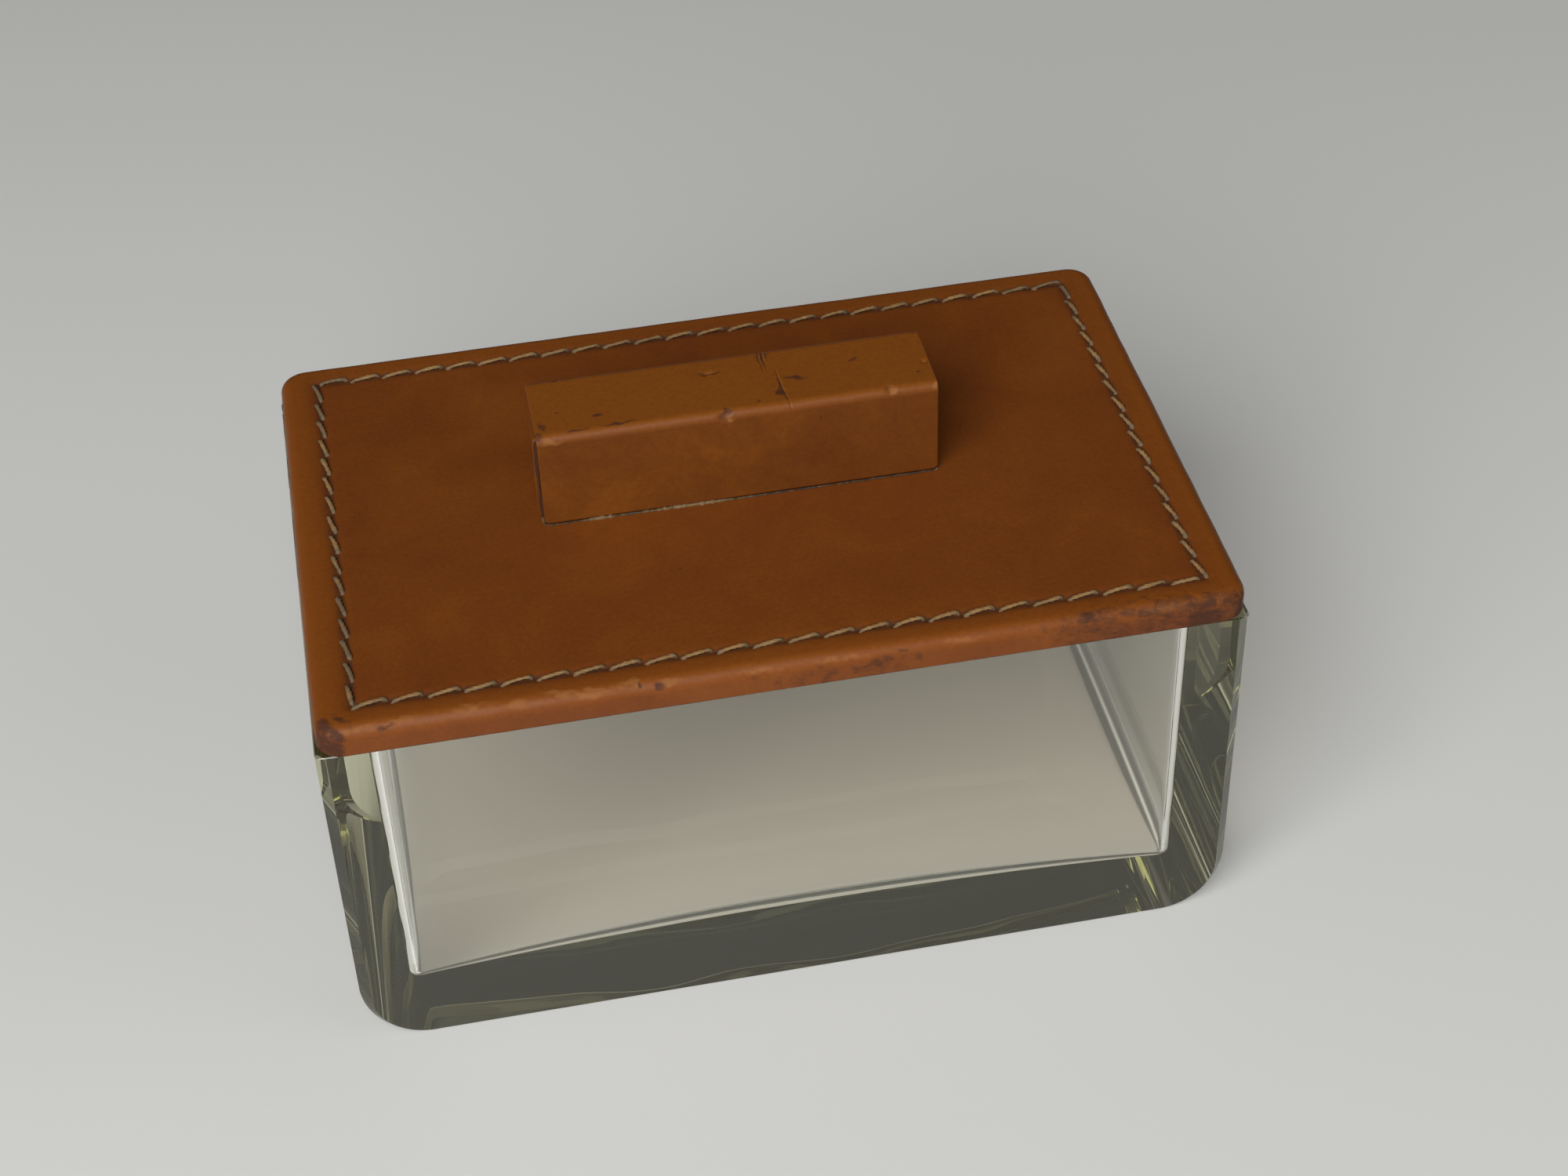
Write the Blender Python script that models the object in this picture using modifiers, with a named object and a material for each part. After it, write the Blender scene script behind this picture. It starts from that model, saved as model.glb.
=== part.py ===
"""Glass box for papers and keepsakes, with a lift-off lid of stitched leather.

Metres, Z up. The origin is the middle of the glass's underside, and X runs along its length.
The lid's pieces are placed from the top of the glass rim, and hang on one empty there.
"""

import math

import bmesh
import bpy
from mathutils import Matrix, Vector

# Clearance between pieces that touch, and how far a cutter runs past a face
FIT_GAP = 0.0003
OVERRUN = 0.001

# Glass body
GLASS_LENGTH = 0.1707
GLASS_DEPTH = 0.1090
GLASS_HEIGHT = 0.0748
END_WALL = 0.0092
SIDE_WALL = 0.0100
BASE_THICKNESS = 0.0093
FLOOR_CROWN = 0.0011
BOTTOM_ROUND = 0.0130
CORNER_CHAMFER = 0.0020
GROUND_ARRIS = 0.0004
CAVITY_CORNER_RADIUS = 0.0034
FLOOR_FILLET = 0.0030
CAVITY_DRAFT = 0.0004

# Lid: leather over a board, its edges turned under as a hem
LID_END_INSET = 0.00035
LID_SIDE_OVERHANG = 0.0010
LID_CORNER_RADIUS = 0.0052
LEATHER_THICKNESS = 0.0012
BOARD_THICKNESS = 0.0030
TOP_EDGE_RADIUS = 0.0024
LOWER_EDGE_RADIUS = 0.0016
HEM_WIDTH = 0.0130
HEM_CORNER_RADIUS = 0.0020

# Saddle stitching: an odd number of stitches lets one thread close after two laps
THREAD_DIAMETER = 0.0009
STITCH_INSET_END = 0.0075
STITCH_INSET_SIDE = 0.0066
LONG_SIDE_STITCHES = 24
LEFT_END_STITCHES = 16
RIGHT_END_STITCHES = 17
AWL_ANGLE = math.radians(45)
LEG_SPACING = 0.0014
BEND_REACH = 0.0011

# Locating panel under the lid
PANEL_CLEARANCE = 0.0015
PANEL_THICKNESS = 0.0022
SUEDE_THICKNESS = 0.0008
PANEL_EDGE_RADIUS = 0.0010

# Handle: a block in leather, a little behind the middle of the lid
HANDLE_LENGTH = 0.0760
HANDLE_DEPTH = 0.0188
HANDLE_HEIGHT = 0.0204
HANDLE_SETBACK = 0.0026
HANDLE_FOLD_RADIUS = 0.0017
BLOCK_EDGE_RADIUS = 0.0006
END_PIECE_EDGE_RADIUS = 0.0003

# Countersunk screws, up through the board into the handle's block
SCREW_SPACING = 0.0440
SCREW_SHANK_DIAMETER = 0.0030
SCREW_HEAD_DIAMETER = 0.0060
SCREW_HEAD_DEPTH = 0.0018
SCREW_BITE = 0.0110
SCREW_POINT = 0.0025
SCREW_SLOT_WIDTH = 0.0009
SCREW_SLOT_DEPTH = 0.0008

# Facets
CORNER_SEGMENTS = 5
EDGE_SEGMENTS = 3
BOTTOM_ROUND_SEGMENTS = 8
FLOOR_STRIPS = 10
SCREW_SIDES = 12
SMOOTH_ANGLE = math.radians(35)

# Where a stitch bends out of its slit: shares of its reach along the row and of its rise
BEND_SHARES = ((0.22, 0.62), (1.0, 1.0))

# How flat the middle of the crowned floor is: a higher power keeps more of it level
FLOOR_CROWN_POWER = 3

# Sizes of the hollow in the glass, taken at the rim
CAVITY_LENGTH = GLASS_LENGTH - 2 * END_WALL
CAVITY_DEPTH = GLASS_DEPTH - 2 * SIDE_WALL

# Outline of the lid
LID_LENGTH = GLASS_LENGTH - 2 * LID_END_INSET
LID_DEPTH = GLASS_DEPTH + 2 * LID_SIDE_OVERHANG

# Heights of the lid's layers above the rim of the glass
HEM_BOTTOM = FIT_GAP
BOARD_BOTTOM = HEM_BOTTOM + LEATHER_THICKNESS + FIT_GAP
BOARD_TOP = BOARD_BOTTOM + BOARD_THICKNESS
LID_TOP = BOARD_TOP + FIT_GAP + LEATHER_THICKNESS
LID_THICKNESS = LID_TOP - HEM_BOTTOM
HANDLE_FOOT = LID_TOP + FIT_GAP
HANDLE_TOP = LID_TOP + HANDLE_HEIGHT
PANEL_TOP = HEM_BOTTOM - FIT_GAP
PANEL_BOTTOM = PANEL_TOP - PANEL_THICKNESS

# Awl slits, long enough for the thread to pass twice side by side
SLIT_WIDTH = THREAD_DIAMETER + 2 * FIT_GAP
SLIT_LENGTH = LEG_SPACING + SLIT_WIDTH
SLIT_REACH = (SLIT_LENGTH + SLIT_WIDTH) * math.sin(AWL_ANGLE) / 2

# Groove under the board, where the thread's lower runs lie above the hem
GROOVE_WIDTH = 2 * (SLIT_REACH + FIT_GAP)
GROOVE_DEPTH = THREAD_DIAMETER + FIT_GAP
STITCH_HALF_LENGTH = LID_LENGTH / 2 - STITCH_INSET_END
STITCH_HALF_DEPTH = LID_DEPTH / 2 - STITCH_INSET_SIDE


def clear_scene():
    for obj in list(bpy.data.objects):
        bpy.data.objects.remove(obj, do_unlink=True)


def new_collection(name):
    collection = bpy.data.collections.new(name)
    bpy.context.scene.collection.children.link(collection)
    return collection


def new_material(name, color, roughness, metallic=0.0, transmission=0.0):
    material = bpy.data.materials.new(name)
    material.use_nodes = True
    shader = material.node_tree.nodes["Principled BSDF"]
    shader.inputs["Base Color"].default_value = (*color, 1)
    shader.inputs["Roughness"].default_value = roughness
    shader.inputs["Metallic"].default_value = metallic
    shader.inputs["Transmission Weight"].default_value = transmission
    material.diffuse_color = (*color, 1)
    return material


def finish_piece(obj, material, location, parent=None):
    """Puts a piece in its place and on its carrier, in its own material, with its round faces smooth."""
    parts.objects.link(obj)
    obj.location = location
    obj.parent = parent
    obj.data.materials.append(material)
    if obj.type == "MESH":
        obj.data.shade_smooth()
        obj.data.set_sharp_from_angle(angle=SMOOTH_ANGLE)
    return obj


def object_from(bm, name):
    bmesh.ops.recalc_face_normals(bm, faces=bm.faces)
    mesh = bpy.data.meshes.new(name)
    bm.to_mesh(mesh)
    bm.free()
    return bpy.data.objects.new(name, mesh)


def as_cutter(obj, location, parent=None):
    cutters.objects.link(obj)
    obj.location = location
    obj.parent = parent
    obj.hide_render = True
    obj.display_type = "WIRE"
    return obj


def cut(obj, cutter):
    modifier = obj.modifiers.new(cutter.name, "BOOLEAN")
    modifier.operation = "DIFFERENCE"
    modifier.solver = "EXACT"
    modifier.object = cutter


def at_height(vertex, z):
    return abs(vertex.co.z - z) < FIT_GAP / 2


def bevel(bm, edges, radius, segments):
    if radius > 0:
        bmesh.ops.bevel(
            bm, geom=edges, offset=radius, segments=segments, profile=0.5, affect="EDGES"
        )


def rounded_box(length, depth, height, corner=0.0, upper=0.0, lower=0.0):
    """A box that stands on z = 0, with rounded upright corners and rounded upper and lower edges."""
    bm = bmesh.new()
    scale = Matrix.Diagonal((length, depth, height, 1))
    lift = Matrix.Translation((0, 0, height / 2))
    bmesh.ops.create_cube(bm, size=1, matrix=lift @ scale)
    uprights = [e for e in bm.edges if abs(e.verts[0].co.z - e.verts[1].co.z) > height / 2]
    bevel(bm, uprights, corner, CORNER_SEGMENTS)
    for level, radius in ((height, upper), (0, lower)):
        rim = [e for e in bm.edges if all(at_height(v, level) for v in e.verts)]
        bevel(bm, rim, radius, EDGE_SEGMENTS)
    return bm


def make_glass_box(material):
    """Thick pressed glass: round lower ends, ground front and back, chamfered upright corners."""
    bm = rounded_box(GLASS_LENGTH, GLASS_DEPTH, GLASS_HEIGHT)
    ends = [e for e in bm.edges if all(at_height(v, 0) for v in e.verts)]
    ends = [e for e in ends if e.verts[0].co.x == e.verts[1].co.x]
    bevel(bm, ends, BOTTOM_ROUND, BOTTOM_ROUND_SEGMENTS)
    glass = object_from(bm, "glass_box")
    weights = glass.data.attributes.new("bevel_weight_edge", "FLOAT", "EDGE")
    for edge in glass.data.edges:
        first, second = (glass.data.vertices[i].co for i in edge.vertices)
        weights.data[edge.index].value = chamfer_share(first, second)
    chamfer = glass.modifiers.new("ground_edges", "BEVEL")
    chamfer.limit_method = "WEIGHT"
    chamfer.width = CORNER_CHAMFER
    chamfer.segments = 1
    cut(glass, as_cutter(object_from(cavity(), "glass_cavity"), (0, 0, 0)))
    return finish_piece(glass, material, (0, 0, 0))


def chamfer_share(first, second):
    """How wide an edge of the glass is ground: the upright corners most, fading round the lower ends."""
    arris_share = min(GROUND_ARRIS / CORNER_CHAMFER, 1)
    middle = (first + second) / 2
    if middle.z > GLASS_HEIGHT - FIT_GAP:
        return arris_share
    if abs(middle.y) < GLASS_DEPTH / 2 - FIT_GAP:
        return 0
    rise = min(middle.z / BOTTOM_ROUND, 1)
    return arris_share + (1 - arris_share) * rise


def cavity():
    """The hollow in the glass: drafted walls, small fillets and a floor that rises towards the middle."""
    mouth = GLASS_HEIGHT - GROUND_ARRIS
    bm = rounded_box(
        CAVITY_LENGTH,
        CAVITY_DEPTH,
        GLASS_HEIGHT + OVERRUN - BASE_THICKNESS,
        corner=CAVITY_CORNER_RADIUS,
        lower=FLOOR_FILLET,
    )
    bmesh.ops.translate(bm, verts=bm.verts, vec=(0, 0, BASE_THICKNESS))
    slices = [(Vector((0, 0, mouth)), Vector((0, 0, 1)))]
    for i in range(1, FLOOR_STRIPS):
        x = CAVITY_LENGTH * (i / FLOOR_STRIPS - 1 / 2)
        slices.append((Vector((x, 0, 0)), Vector((1, 0, 0))))
    for point, normal in slices:
        everything = bm.verts[:] + bm.edges[:] + bm.faces[:]
        bmesh.ops.bisect_plane(bm, geom=everything, plane_co=point, plane_no=normal)
    for vertex in bm.verts:
        depth = max(mouth - vertex.co.z, 0) / (mouth - BASE_THICKNESS)
        flare = max(vertex.co.z - mouth, 0)
        outward = flare - CAVITY_DRAFT * depth
        side = CAVITY_DEPTH / 2 - CAVITY_CORNER_RADIUS
        end = CAVITY_LENGTH / 2 - CAVITY_CORNER_RADIUS
        if abs(vertex.co.x) > end:
            vertex.co.x += math.copysign(outward, vertex.co.x)
        if abs(vertex.co.y) > side:
            vertex.co.y += math.copysign(outward, vertex.co.y)
        if vertex.co.z < BASE_THICKNESS + FLOOR_FILLET + FIT_GAP:
            along = min(abs(vertex.co.x) / end, 1)
            vertex.co.z += FLOOR_CROWN * (1 - along**FLOOR_CROWN_POWER)
    return bm


def stitch_holes():
    """Each awl slit's place on the lid and its direction, anticlockwise from the back left corner."""
    corners = [
        Vector((-STITCH_HALF_LENGTH, STITCH_HALF_DEPTH)),
        Vector((-STITCH_HALF_LENGTH, -STITCH_HALF_DEPTH)),
        Vector((STITCH_HALF_LENGTH, -STITCH_HALF_DEPTH)),
        Vector((STITCH_HALF_LENGTH, STITCH_HALF_DEPTH)),
    ]
    counts = (LEFT_END_STITCHES, LONG_SIDE_STITCHES, RIGHT_END_STITCHES, LONG_SIDE_STITCHES)
    turn = Matrix.Rotation(-AWL_ANGLE, 2)
    runs = [(corners[(i + 1) % 4] - corners[i]).normalized() for i in range(4)]
    holes = []
    for i, count in enumerate(counts):
        start, end = corners[i], corners[(i + 1) % 4]
        for step in range(count):
            # A corner slit points between those of the two rows that it joins
            slant = turn @ (runs[i] + (runs[i - 1] if step == 0 else runs[i]))
            holes.append((start.lerp(end, step / count), slant.normalized()))
    return holes


def slit_cutter(bottom, top, name):
    """One thin box for each awl slit, as a single cutter."""
    bm = bmesh.new()
    scale = Matrix.Diagonal((SLIT_LENGTH, SLIT_WIDTH, top - bottom, 1))
    for place, slant in stitch_holes():
        turn = Matrix.Rotation(math.atan2(slant.y, slant.x), 4, "Z")
        move = Matrix.Translation((*place, (top + bottom) / 2))
        bmesh.ops.create_cube(bm, size=1, matrix=move @ turn @ scale)
    return as_cutter(object_from(bm, name), (0, 0, 0), lid)


def make_lid_cover(material, screw_cutters):
    """Leather over the board: a hollow shell, open underneath inside the turned hem."""
    bm = rounded_box(
        LID_LENGTH, LID_DEPTH, LID_THICKNESS, LID_CORNER_RADIUS, TOP_EDGE_RADIUS, LOWER_EDGE_RADIUS
    )
    cover = object_from(bm, "lid_cover")
    inside = rounded_box(
        LID_LENGTH - 2 * LEATHER_THICKNESS,
        LID_DEPTH - 2 * LEATHER_THICKNESS,
        LID_THICKNESS - 2 * LEATHER_THICKNESS,
        LID_CORNER_RADIUS - LEATHER_THICKNESS,
        TOP_EDGE_RADIUS - LEATHER_THICKNESS,
        LOWER_EDGE_RADIUS - LEATHER_THICKNESS,
    )
    room = as_cutter(object_from(inside, "lid_room"), (0, 0, HEM_BOTTOM + LEATHER_THICKNESS), lid)
    opening = rounded_box(
        LID_LENGTH - 2 * HEM_WIDTH, LID_DEPTH - 2 * HEM_WIDTH, 2 * LEATHER_THICKNESS, HEM_CORNER_RADIUS
    )
    mouth = as_cutter(object_from(opening, "hem_opening"), (0, 0, HEM_BOTTOM - LEATHER_THICKNESS / 2), lid)
    cut(cover, room)
    cut(cover, mouth)
    cut(cover, slit_cutter(LID_TOP - LEATHER_THICKNESS - FIT_GAP, LID_TOP + OVERRUN, "cover_slits"))
    for cutter in screw_cutters:
        cut(cover, cutter)
    return finish_piece(cover, material, (0, 0, HEM_BOTTOM), lid)


def make_lid_board(material, screw_cutters):
    """The wooden board inside the leather, with the awl slits and a groove under them."""
    bm = rounded_box(
        LID_LENGTH - 2 * (LEATHER_THICKNESS + FIT_GAP),
        LID_DEPTH - 2 * (LEATHER_THICKNESS + FIT_GAP),
        BOARD_THICKNESS,
        LID_CORNER_RADIUS - LEATHER_THICKNESS - FIT_GAP,
        TOP_EDGE_RADIUS - LEATHER_THICKNESS,
        LOWER_EDGE_RADIUS - LEATHER_THICKNESS,
    )
    board = object_from(bm, "lid_board")
    cut(board, groove_cutter())
    slits = slit_cutter(BOARD_BOTTOM + GROOVE_DEPTH - FIT_GAP, BOARD_TOP + OVERRUN, "board_slits")
    cut(board, slits)
    for cutter in screw_cutters:
        cut(board, cutter)
    return finish_piece(board, material, (0, 0, BOARD_BOTTOM), lid)


def groove_cutter():
    """A square ring that follows the stitching, for the groove under the board."""
    bm = bmesh.new()
    height = GROOVE_DEPTH + OVERRUN
    rings = []
    for reach in (GROOVE_WIDTH / 2, -GROOVE_WIDTH / 2):
        x, y = STITCH_HALF_LENGTH + reach, STITCH_HALF_DEPTH + reach
        plan = [(-x, -y), (x, -y), (x, y), (-x, y)]
        rings.append([bm.verts.new((*point, -OVERRUN)) for point in plan])
    outer, inner = rings
    for i in range(4):
        bm.faces.new((outer[i], outer[i - 1], inner[i - 1], inner[i]))
    ring = bmesh.ops.extrude_face_region(bm, geom=bm.faces[:])["geom"]
    raised = [v for v in ring if isinstance(v, bmesh.types.BMVert)]
    bmesh.ops.translate(bm, verts=raised, vec=(0, 0, height))
    return as_cutter(object_from(bm, "thread_groove"), (0, 0, BOARD_BOTTOM), lid)


def make_saddle_stitch(material):
    """One thread, sewn twice round: the second lap's stitches fill the gaps that the first leaves."""
    curve = bpy.data.curves.new("saddle_stitch", "CURVE")
    curve.dimensions = "3D"
    curve.bevel_depth = THREAD_DIAMETER / 2
    curve.bevel_resolution = 1
    curve.resolution_u = 1
    points = thread_points()
    spline = curve.splines.new("POLY")
    spline.points.add(len(points) - 1)
    for point, place in zip(spline.points, points):
        point.co = (*place, 1)
    spline.use_cyclic_u = True
    return finish_piece(bpy.data.objects.new("saddle_stitch", curve), material, (0, 0, 0), lid)


def thread_points():
    """The thread's path: over the leather and under the board by turns, one leg in each slit."""
    holes = stitch_holes()
    over = LID_TOP + FIT_GAP + THREAD_DIAMETER / 2
    under = BOARD_BOTTOM + THREAD_DIAMETER / 2
    points = []
    for run in range(2 * len(holes)):
        on_top = run % 2 == 0
        first, second = holes[run % len(holes)], holes[(run + 1) % len(holes)]
        side = LEG_SPACING / 2 if on_top else -LEG_SPACING / 2
        start, end = first[0] + first[1] * side, second[0] - second[1] * side
        along = (end - start).normalized()
        if not on_top:
            points += [(*start, under), (*end, under)]
            continue
        rise = over - (LID_TOP - LEATHER_THICKNESS / 2)
        bends = [(0, 0), *BEND_SHARES]
        up = [(*(start + along * BEND_REACH * reach), over - rise * (1 - lift)) for reach, lift in bends]
        down = [(*(end - along * BEND_REACH * reach), over - rise * (1 - lift)) for reach, lift in bends]
        points += up + down[::-1]
    return points


def make_underside_filler(material):
    """The sheet that levels the lid's underside inside the hem."""
    bm = rounded_box(
        LID_LENGTH - 2 * (HEM_WIDTH + FIT_GAP),
        LID_DEPTH - 2 * (HEM_WIDTH + FIT_GAP),
        LEATHER_THICKNESS,
        max(HEM_CORNER_RADIUS - FIT_GAP, 0),
    )
    return finish_piece(object_from(bm, "underside_filler"), material, (0, 0, HEM_BOTTOM), lid)


def make_locating_panel(wood, suede):
    """The board that drops into the glass, and the suede skin round its edge and under it."""
    skin = SUEDE_THICKNESS + FIT_GAP
    length = CAVITY_LENGTH - 2 * PANEL_CLEARANCE
    depth = CAVITY_DEPTH - 2 * PANEL_CLEARANCE
    inner = (length - 2 * skin, depth - 2 * skin)
    corner = CAVITY_CORNER_RADIUS - SUEDE_THICKNESS
    board = rounded_box(*inner, PANEL_THICKNESS, corner - FIT_GAP, lower=FIT_GAP)
    finish_piece(object_from(board, "locating_panel"), wood, (0, 0, PANEL_BOTTOM), lid)
    skin_bottom = PANEL_BOTTOM - skin
    shell = object_from(
        rounded_box(length, depth, PANEL_TOP - skin_bottom, CAVITY_CORNER_RADIUS, lower=PANEL_EDGE_RADIUS),
        "locating_panel_suede",
    )
    room = rounded_box(
        length - 2 * SUEDE_THICKNESS,
        depth - 2 * SUEDE_THICKNESS,
        PANEL_THICKNESS + FIT_GAP + OVERRUN,
        corner,
        lower=max(PANEL_EDGE_RADIUS - SUEDE_THICKNESS, 0),
    )
    cut(shell, as_cutter(object_from(room, "panel_room"), (0, 0, PANEL_BOTTOM - FIT_GAP), lid))
    finish_piece(shell, suede, (0, 0, skin_bottom), lid)


def arc(center_x, center_y, radius, start, end, steps):
    """Points of an arc in degrees, ends included."""
    angles = [math.radians(start + (end - start) * i / steps) for i in range(steps + 1)]
    return [(center_x + radius * math.cos(a), center_y + radius * math.sin(a)) for a in angles]


def make_handle_wrap(material):
    """The strip that goes up the handle's front, over its top and down its back."""
    half = HANDLE_DEPTH / 2
    height = HANDLE_TOP - HANDLE_FOOT
    fold = HANDLE_FOLD_RADIUS
    inner_fold = max(fold - LEATHER_THICKNESS, 0)
    inside = half - LEATHER_THICKNESS
    outline = [(half, 0)]
    outline += arc(half - fold, height - fold, fold, 0, 90, EDGE_SEGMENTS)
    outline += arc(fold - half, height - fold, fold, 90, 180, EDGE_SEGMENTS)
    outline += [(-half, 0), (-inside, 0)]
    outline += arc(fold - half, height - fold, inner_fold, 180, 90, EDGE_SEGMENTS)
    outline += arc(half - fold, height - fold, inner_fold, 90, 0, EDGE_SEGMENTS)
    outline += [(inside, 0)]
    curve = bpy.data.curves.new("handle_wrap", "CURVE")
    curve.dimensions = "2D"
    curve.fill_mode = "BOTH"
    curve.extrude = HANDLE_LENGTH / 2
    curve.resolution_u = 1
    spline = curve.splines.new("POLY")
    spline.points.add(len(outline) - 1)
    for point, (y, z) in zip(spline.points, outline):
        point.co = (y, z, 0, 1)
    spline.use_cyclic_u = True
    wrap = bpy.data.objects.new("handle_wrap", curve)
    wrap.rotation_euler = (math.radians(90), 0, math.radians(90))
    return finish_piece(wrap, material, (0, HANDLE_SETBACK, HANDLE_FOOT), lid)


def make_handle_end(name, side, material):
    """A leather piece on one end of the block, inside the strip's edges."""
    width = HANDLE_DEPTH - 2 * (LEATHER_THICKNESS + FIT_GAP)
    height = HANDLE_TOP - HANDLE_FOOT - LEATHER_THICKNESS - FIT_GAP
    bm = rounded_box(LEATHER_THICKNESS, width, height)
    outer = [e for e in bm.edges if all(v.co.x * side > 0 for v in e.verts)]
    bevel(bm, outer, END_PIECE_EDGE_RADIUS, EDGE_SEGMENTS)
    x = side * (HANDLE_LENGTH - LEATHER_THICKNESS) / 2
    return finish_piece(object_from(bm, name), material, (x, HANDLE_SETBACK, HANDLE_FOOT), lid)


def make_handle_block(material, screw_cutters):
    """The wooden block inside the handle, drilled from below for the screws."""
    skin = LEATHER_THICKNESS + FIT_GAP
    bm = rounded_box(
        HANDLE_LENGTH - 2 * skin,
        HANDLE_DEPTH - 2 * skin,
        HANDLE_TOP - HANDLE_FOOT - skin,
        BLOCK_EDGE_RADIUS,
        BLOCK_EDGE_RADIUS,
    )
    block = object_from(bm, "handle_block")
    for cutter in screw_cutters:
        cut(block, cutter)
    return finish_piece(block, material, (0, HANDLE_SETBACK, HANDLE_FOOT), lid)


def turned(name, profile):
    """A solid turned about Z from (radius, height) points that run down its outer side."""
    mesh = bpy.data.meshes.new(name)
    points = [(radius, 0, height) for radius, height in profile]
    mesh.from_pydata(points, [(i, i + 1) for i in range(len(points) - 1)], [])
    obj = bpy.data.objects.new(name, mesh)
    spin = obj.modifiers.new("turned", "SCREW")
    spin.steps = spin.render_steps = SCREW_SIDES
    spin.use_merge_vertices = True
    spin.merge_threshold = FIT_GAP / 10
    return obj


def screw_profile(gap, below):
    """A countersunk screw, head down, grown by a gap on every side and lengthened below the head."""
    shank = SCREW_SHANK_DIAMETER / 2 + gap
    head = SCREW_HEAD_DIAMETER / 2 + gap
    tip = HANDLE_FOOT - BOARD_BOTTOM + SCREW_BITE + gap
    return [
        (0, tip),
        (shank, tip - SCREW_POINT),
        (shank, SCREW_HEAD_DEPTH + gap),
        (head, gap),
        (head, -below),
        (0, -below),
    ]


def make_screws(material):
    """Both screws, and the cutters for their holes."""
    holes = []
    for name, side in (("left", -1), ("right", 1)):
        place = (side * SCREW_SPACING / 2, HANDLE_SETBACK, BOARD_BOTTOM + FIT_GAP)
        screw = turned(f"handle_screw_{name}", screw_profile(0, 0))
        slot = rounded_box(SCREW_HEAD_DIAMETER + OVERRUN, SCREW_SLOT_WIDTH, SCREW_SLOT_DEPTH + OVERRUN)
        below = (place[0], place[1], place[2] - OVERRUN)
        cut(screw, as_cutter(object_from(slot, f"screw_slot_{name}"), below, lid))
        finish_piece(screw, material, place, lid)
        hole = turned(f"screw_hole_{name}", screw_profile(FIT_GAP, OVERRUN))
        holes.append(as_cutter(hole, place, lid))
    return holes


clear_scene()
parts = new_collection("leather_lidded_glass_box")
cutters = new_collection("cutters")

lid = bpy.data.objects.new("lid", None)
lid.location = (0, 0, GLASS_HEIGHT)
lid.empty_display_size = LID_DEPTH
parts.objects.link(lid)

glass = new_material("pressed_glass", (0.86, 0.89, 0.80), 0.03, transmission=1.0)
leather = new_material("tan_leather", (0.31, 0.11, 0.025), 0.45)
handle_leather = new_material("handle_leather", (0.36, 0.15, 0.035), 0.5)
end_leather = new_material("handle_end_leather", (0.25, 0.10, 0.03), 0.55)
linen = new_material("waxed_linen", (0.50, 0.34, 0.15), 0.7)
board_wood = new_material("board_wood", (0.48, 0.32, 0.18), 0.6)
block_wood = new_material("block_wood", (0.42, 0.27, 0.14), 0.6)
card = new_material("filler_card", (0.35, 0.27, 0.19), 0.8)
suede = new_material("brown_suede", (0.16, 0.08, 0.04), 0.95)
steel = new_material("screw_steel", (0.55, 0.55, 0.56), 0.35, metallic=1.0)

make_glass_box(glass)
screw_holes = make_screws(steel)
make_lid_cover(leather, screw_holes)
make_lid_board(board_wood, screw_holes)
make_saddle_stitch(linen)
make_underside_filler(card)
make_locating_panel(board_wood, suede)
make_handle_block(block_wood, screw_holes)
make_handle_wrap(handle_leather)
make_handle_end("handle_end_left", -1, end_leather)
make_handle_end("handle_end_right", 1, end_leather)
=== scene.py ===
"""Looks of a thick glass box with a saddle-stitched leather lid. Metres and Z up, in the model's frame."""

import math

import bmesh
import bpy
import numpy as np
from mathutils import Matrix, Vector, noise


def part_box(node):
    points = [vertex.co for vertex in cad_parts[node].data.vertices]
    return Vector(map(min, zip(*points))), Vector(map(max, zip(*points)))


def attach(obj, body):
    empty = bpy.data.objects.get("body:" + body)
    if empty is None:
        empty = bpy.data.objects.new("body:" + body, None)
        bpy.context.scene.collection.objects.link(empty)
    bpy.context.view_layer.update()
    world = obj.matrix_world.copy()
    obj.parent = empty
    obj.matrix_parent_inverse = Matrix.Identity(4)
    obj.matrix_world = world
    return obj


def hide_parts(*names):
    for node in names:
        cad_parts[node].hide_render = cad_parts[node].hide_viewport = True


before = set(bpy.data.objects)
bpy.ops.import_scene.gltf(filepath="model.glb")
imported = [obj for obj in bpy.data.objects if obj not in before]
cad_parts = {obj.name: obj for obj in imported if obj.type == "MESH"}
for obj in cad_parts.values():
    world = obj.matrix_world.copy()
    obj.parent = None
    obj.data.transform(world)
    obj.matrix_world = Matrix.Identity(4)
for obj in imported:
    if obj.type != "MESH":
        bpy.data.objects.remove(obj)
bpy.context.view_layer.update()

MM = 0.001
NEAR = 0.1 * MM


# The glass body. One piece of thick soda-lime glass, pressed in a mould, so its hollow is a little wavy and
# its floor rises towards the middle. The front, back and rim were then ground flat and polished.
glass_low, glass_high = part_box("glass_box")
GLASS_LENGTH = glass_high.x - glass_low.x
GLASS_DEPTH = glass_high.y - glass_low.y
GLASS_HEIGHT = glass_high.z
END_WALL = 9.2 * MM
SIDE_WALL = 10 * MM
BOTTOM_ROUND = 13 * MM
CORNER_CHAMFER = 2 * MM
GROUND_ARRIS = 0.2 * MM
CAVITY_DRAFT = 0.4 * MM
CAVITY_CORNER_RADIUS = 3.4 * MM
FLOOR_HEIGHT = 9.3 * MM
FLOOR_CROWN = 1.1 * MM
FLOOR_CROWN_POWER = 3
CORNER_FILLET = 1.4 * MM
END_FILLET = 4.1 * MM
FRONT_FILLET = 6.3 * MM
BACK_FILLET = 3.2 * MM
SIDE_WAVE_HEIGHT, SIDE_WAVE_LENGTH = 0.04 * MM, 30 * MM
END_WAVE_HEIGHT, END_WAVE_LENGTH, END_WAVE_RISE = 0.12 * MM, 45 * MM, 16 * MM
FLOOR_WAVE_HEIGHT, FLOOR_WAVE_LENGTH = 0.08 * MM, 22 * MM
SOFT_EDGE_ANGLE = math.radians(25)
CUT_OVERRUN = 2 * MM
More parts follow.
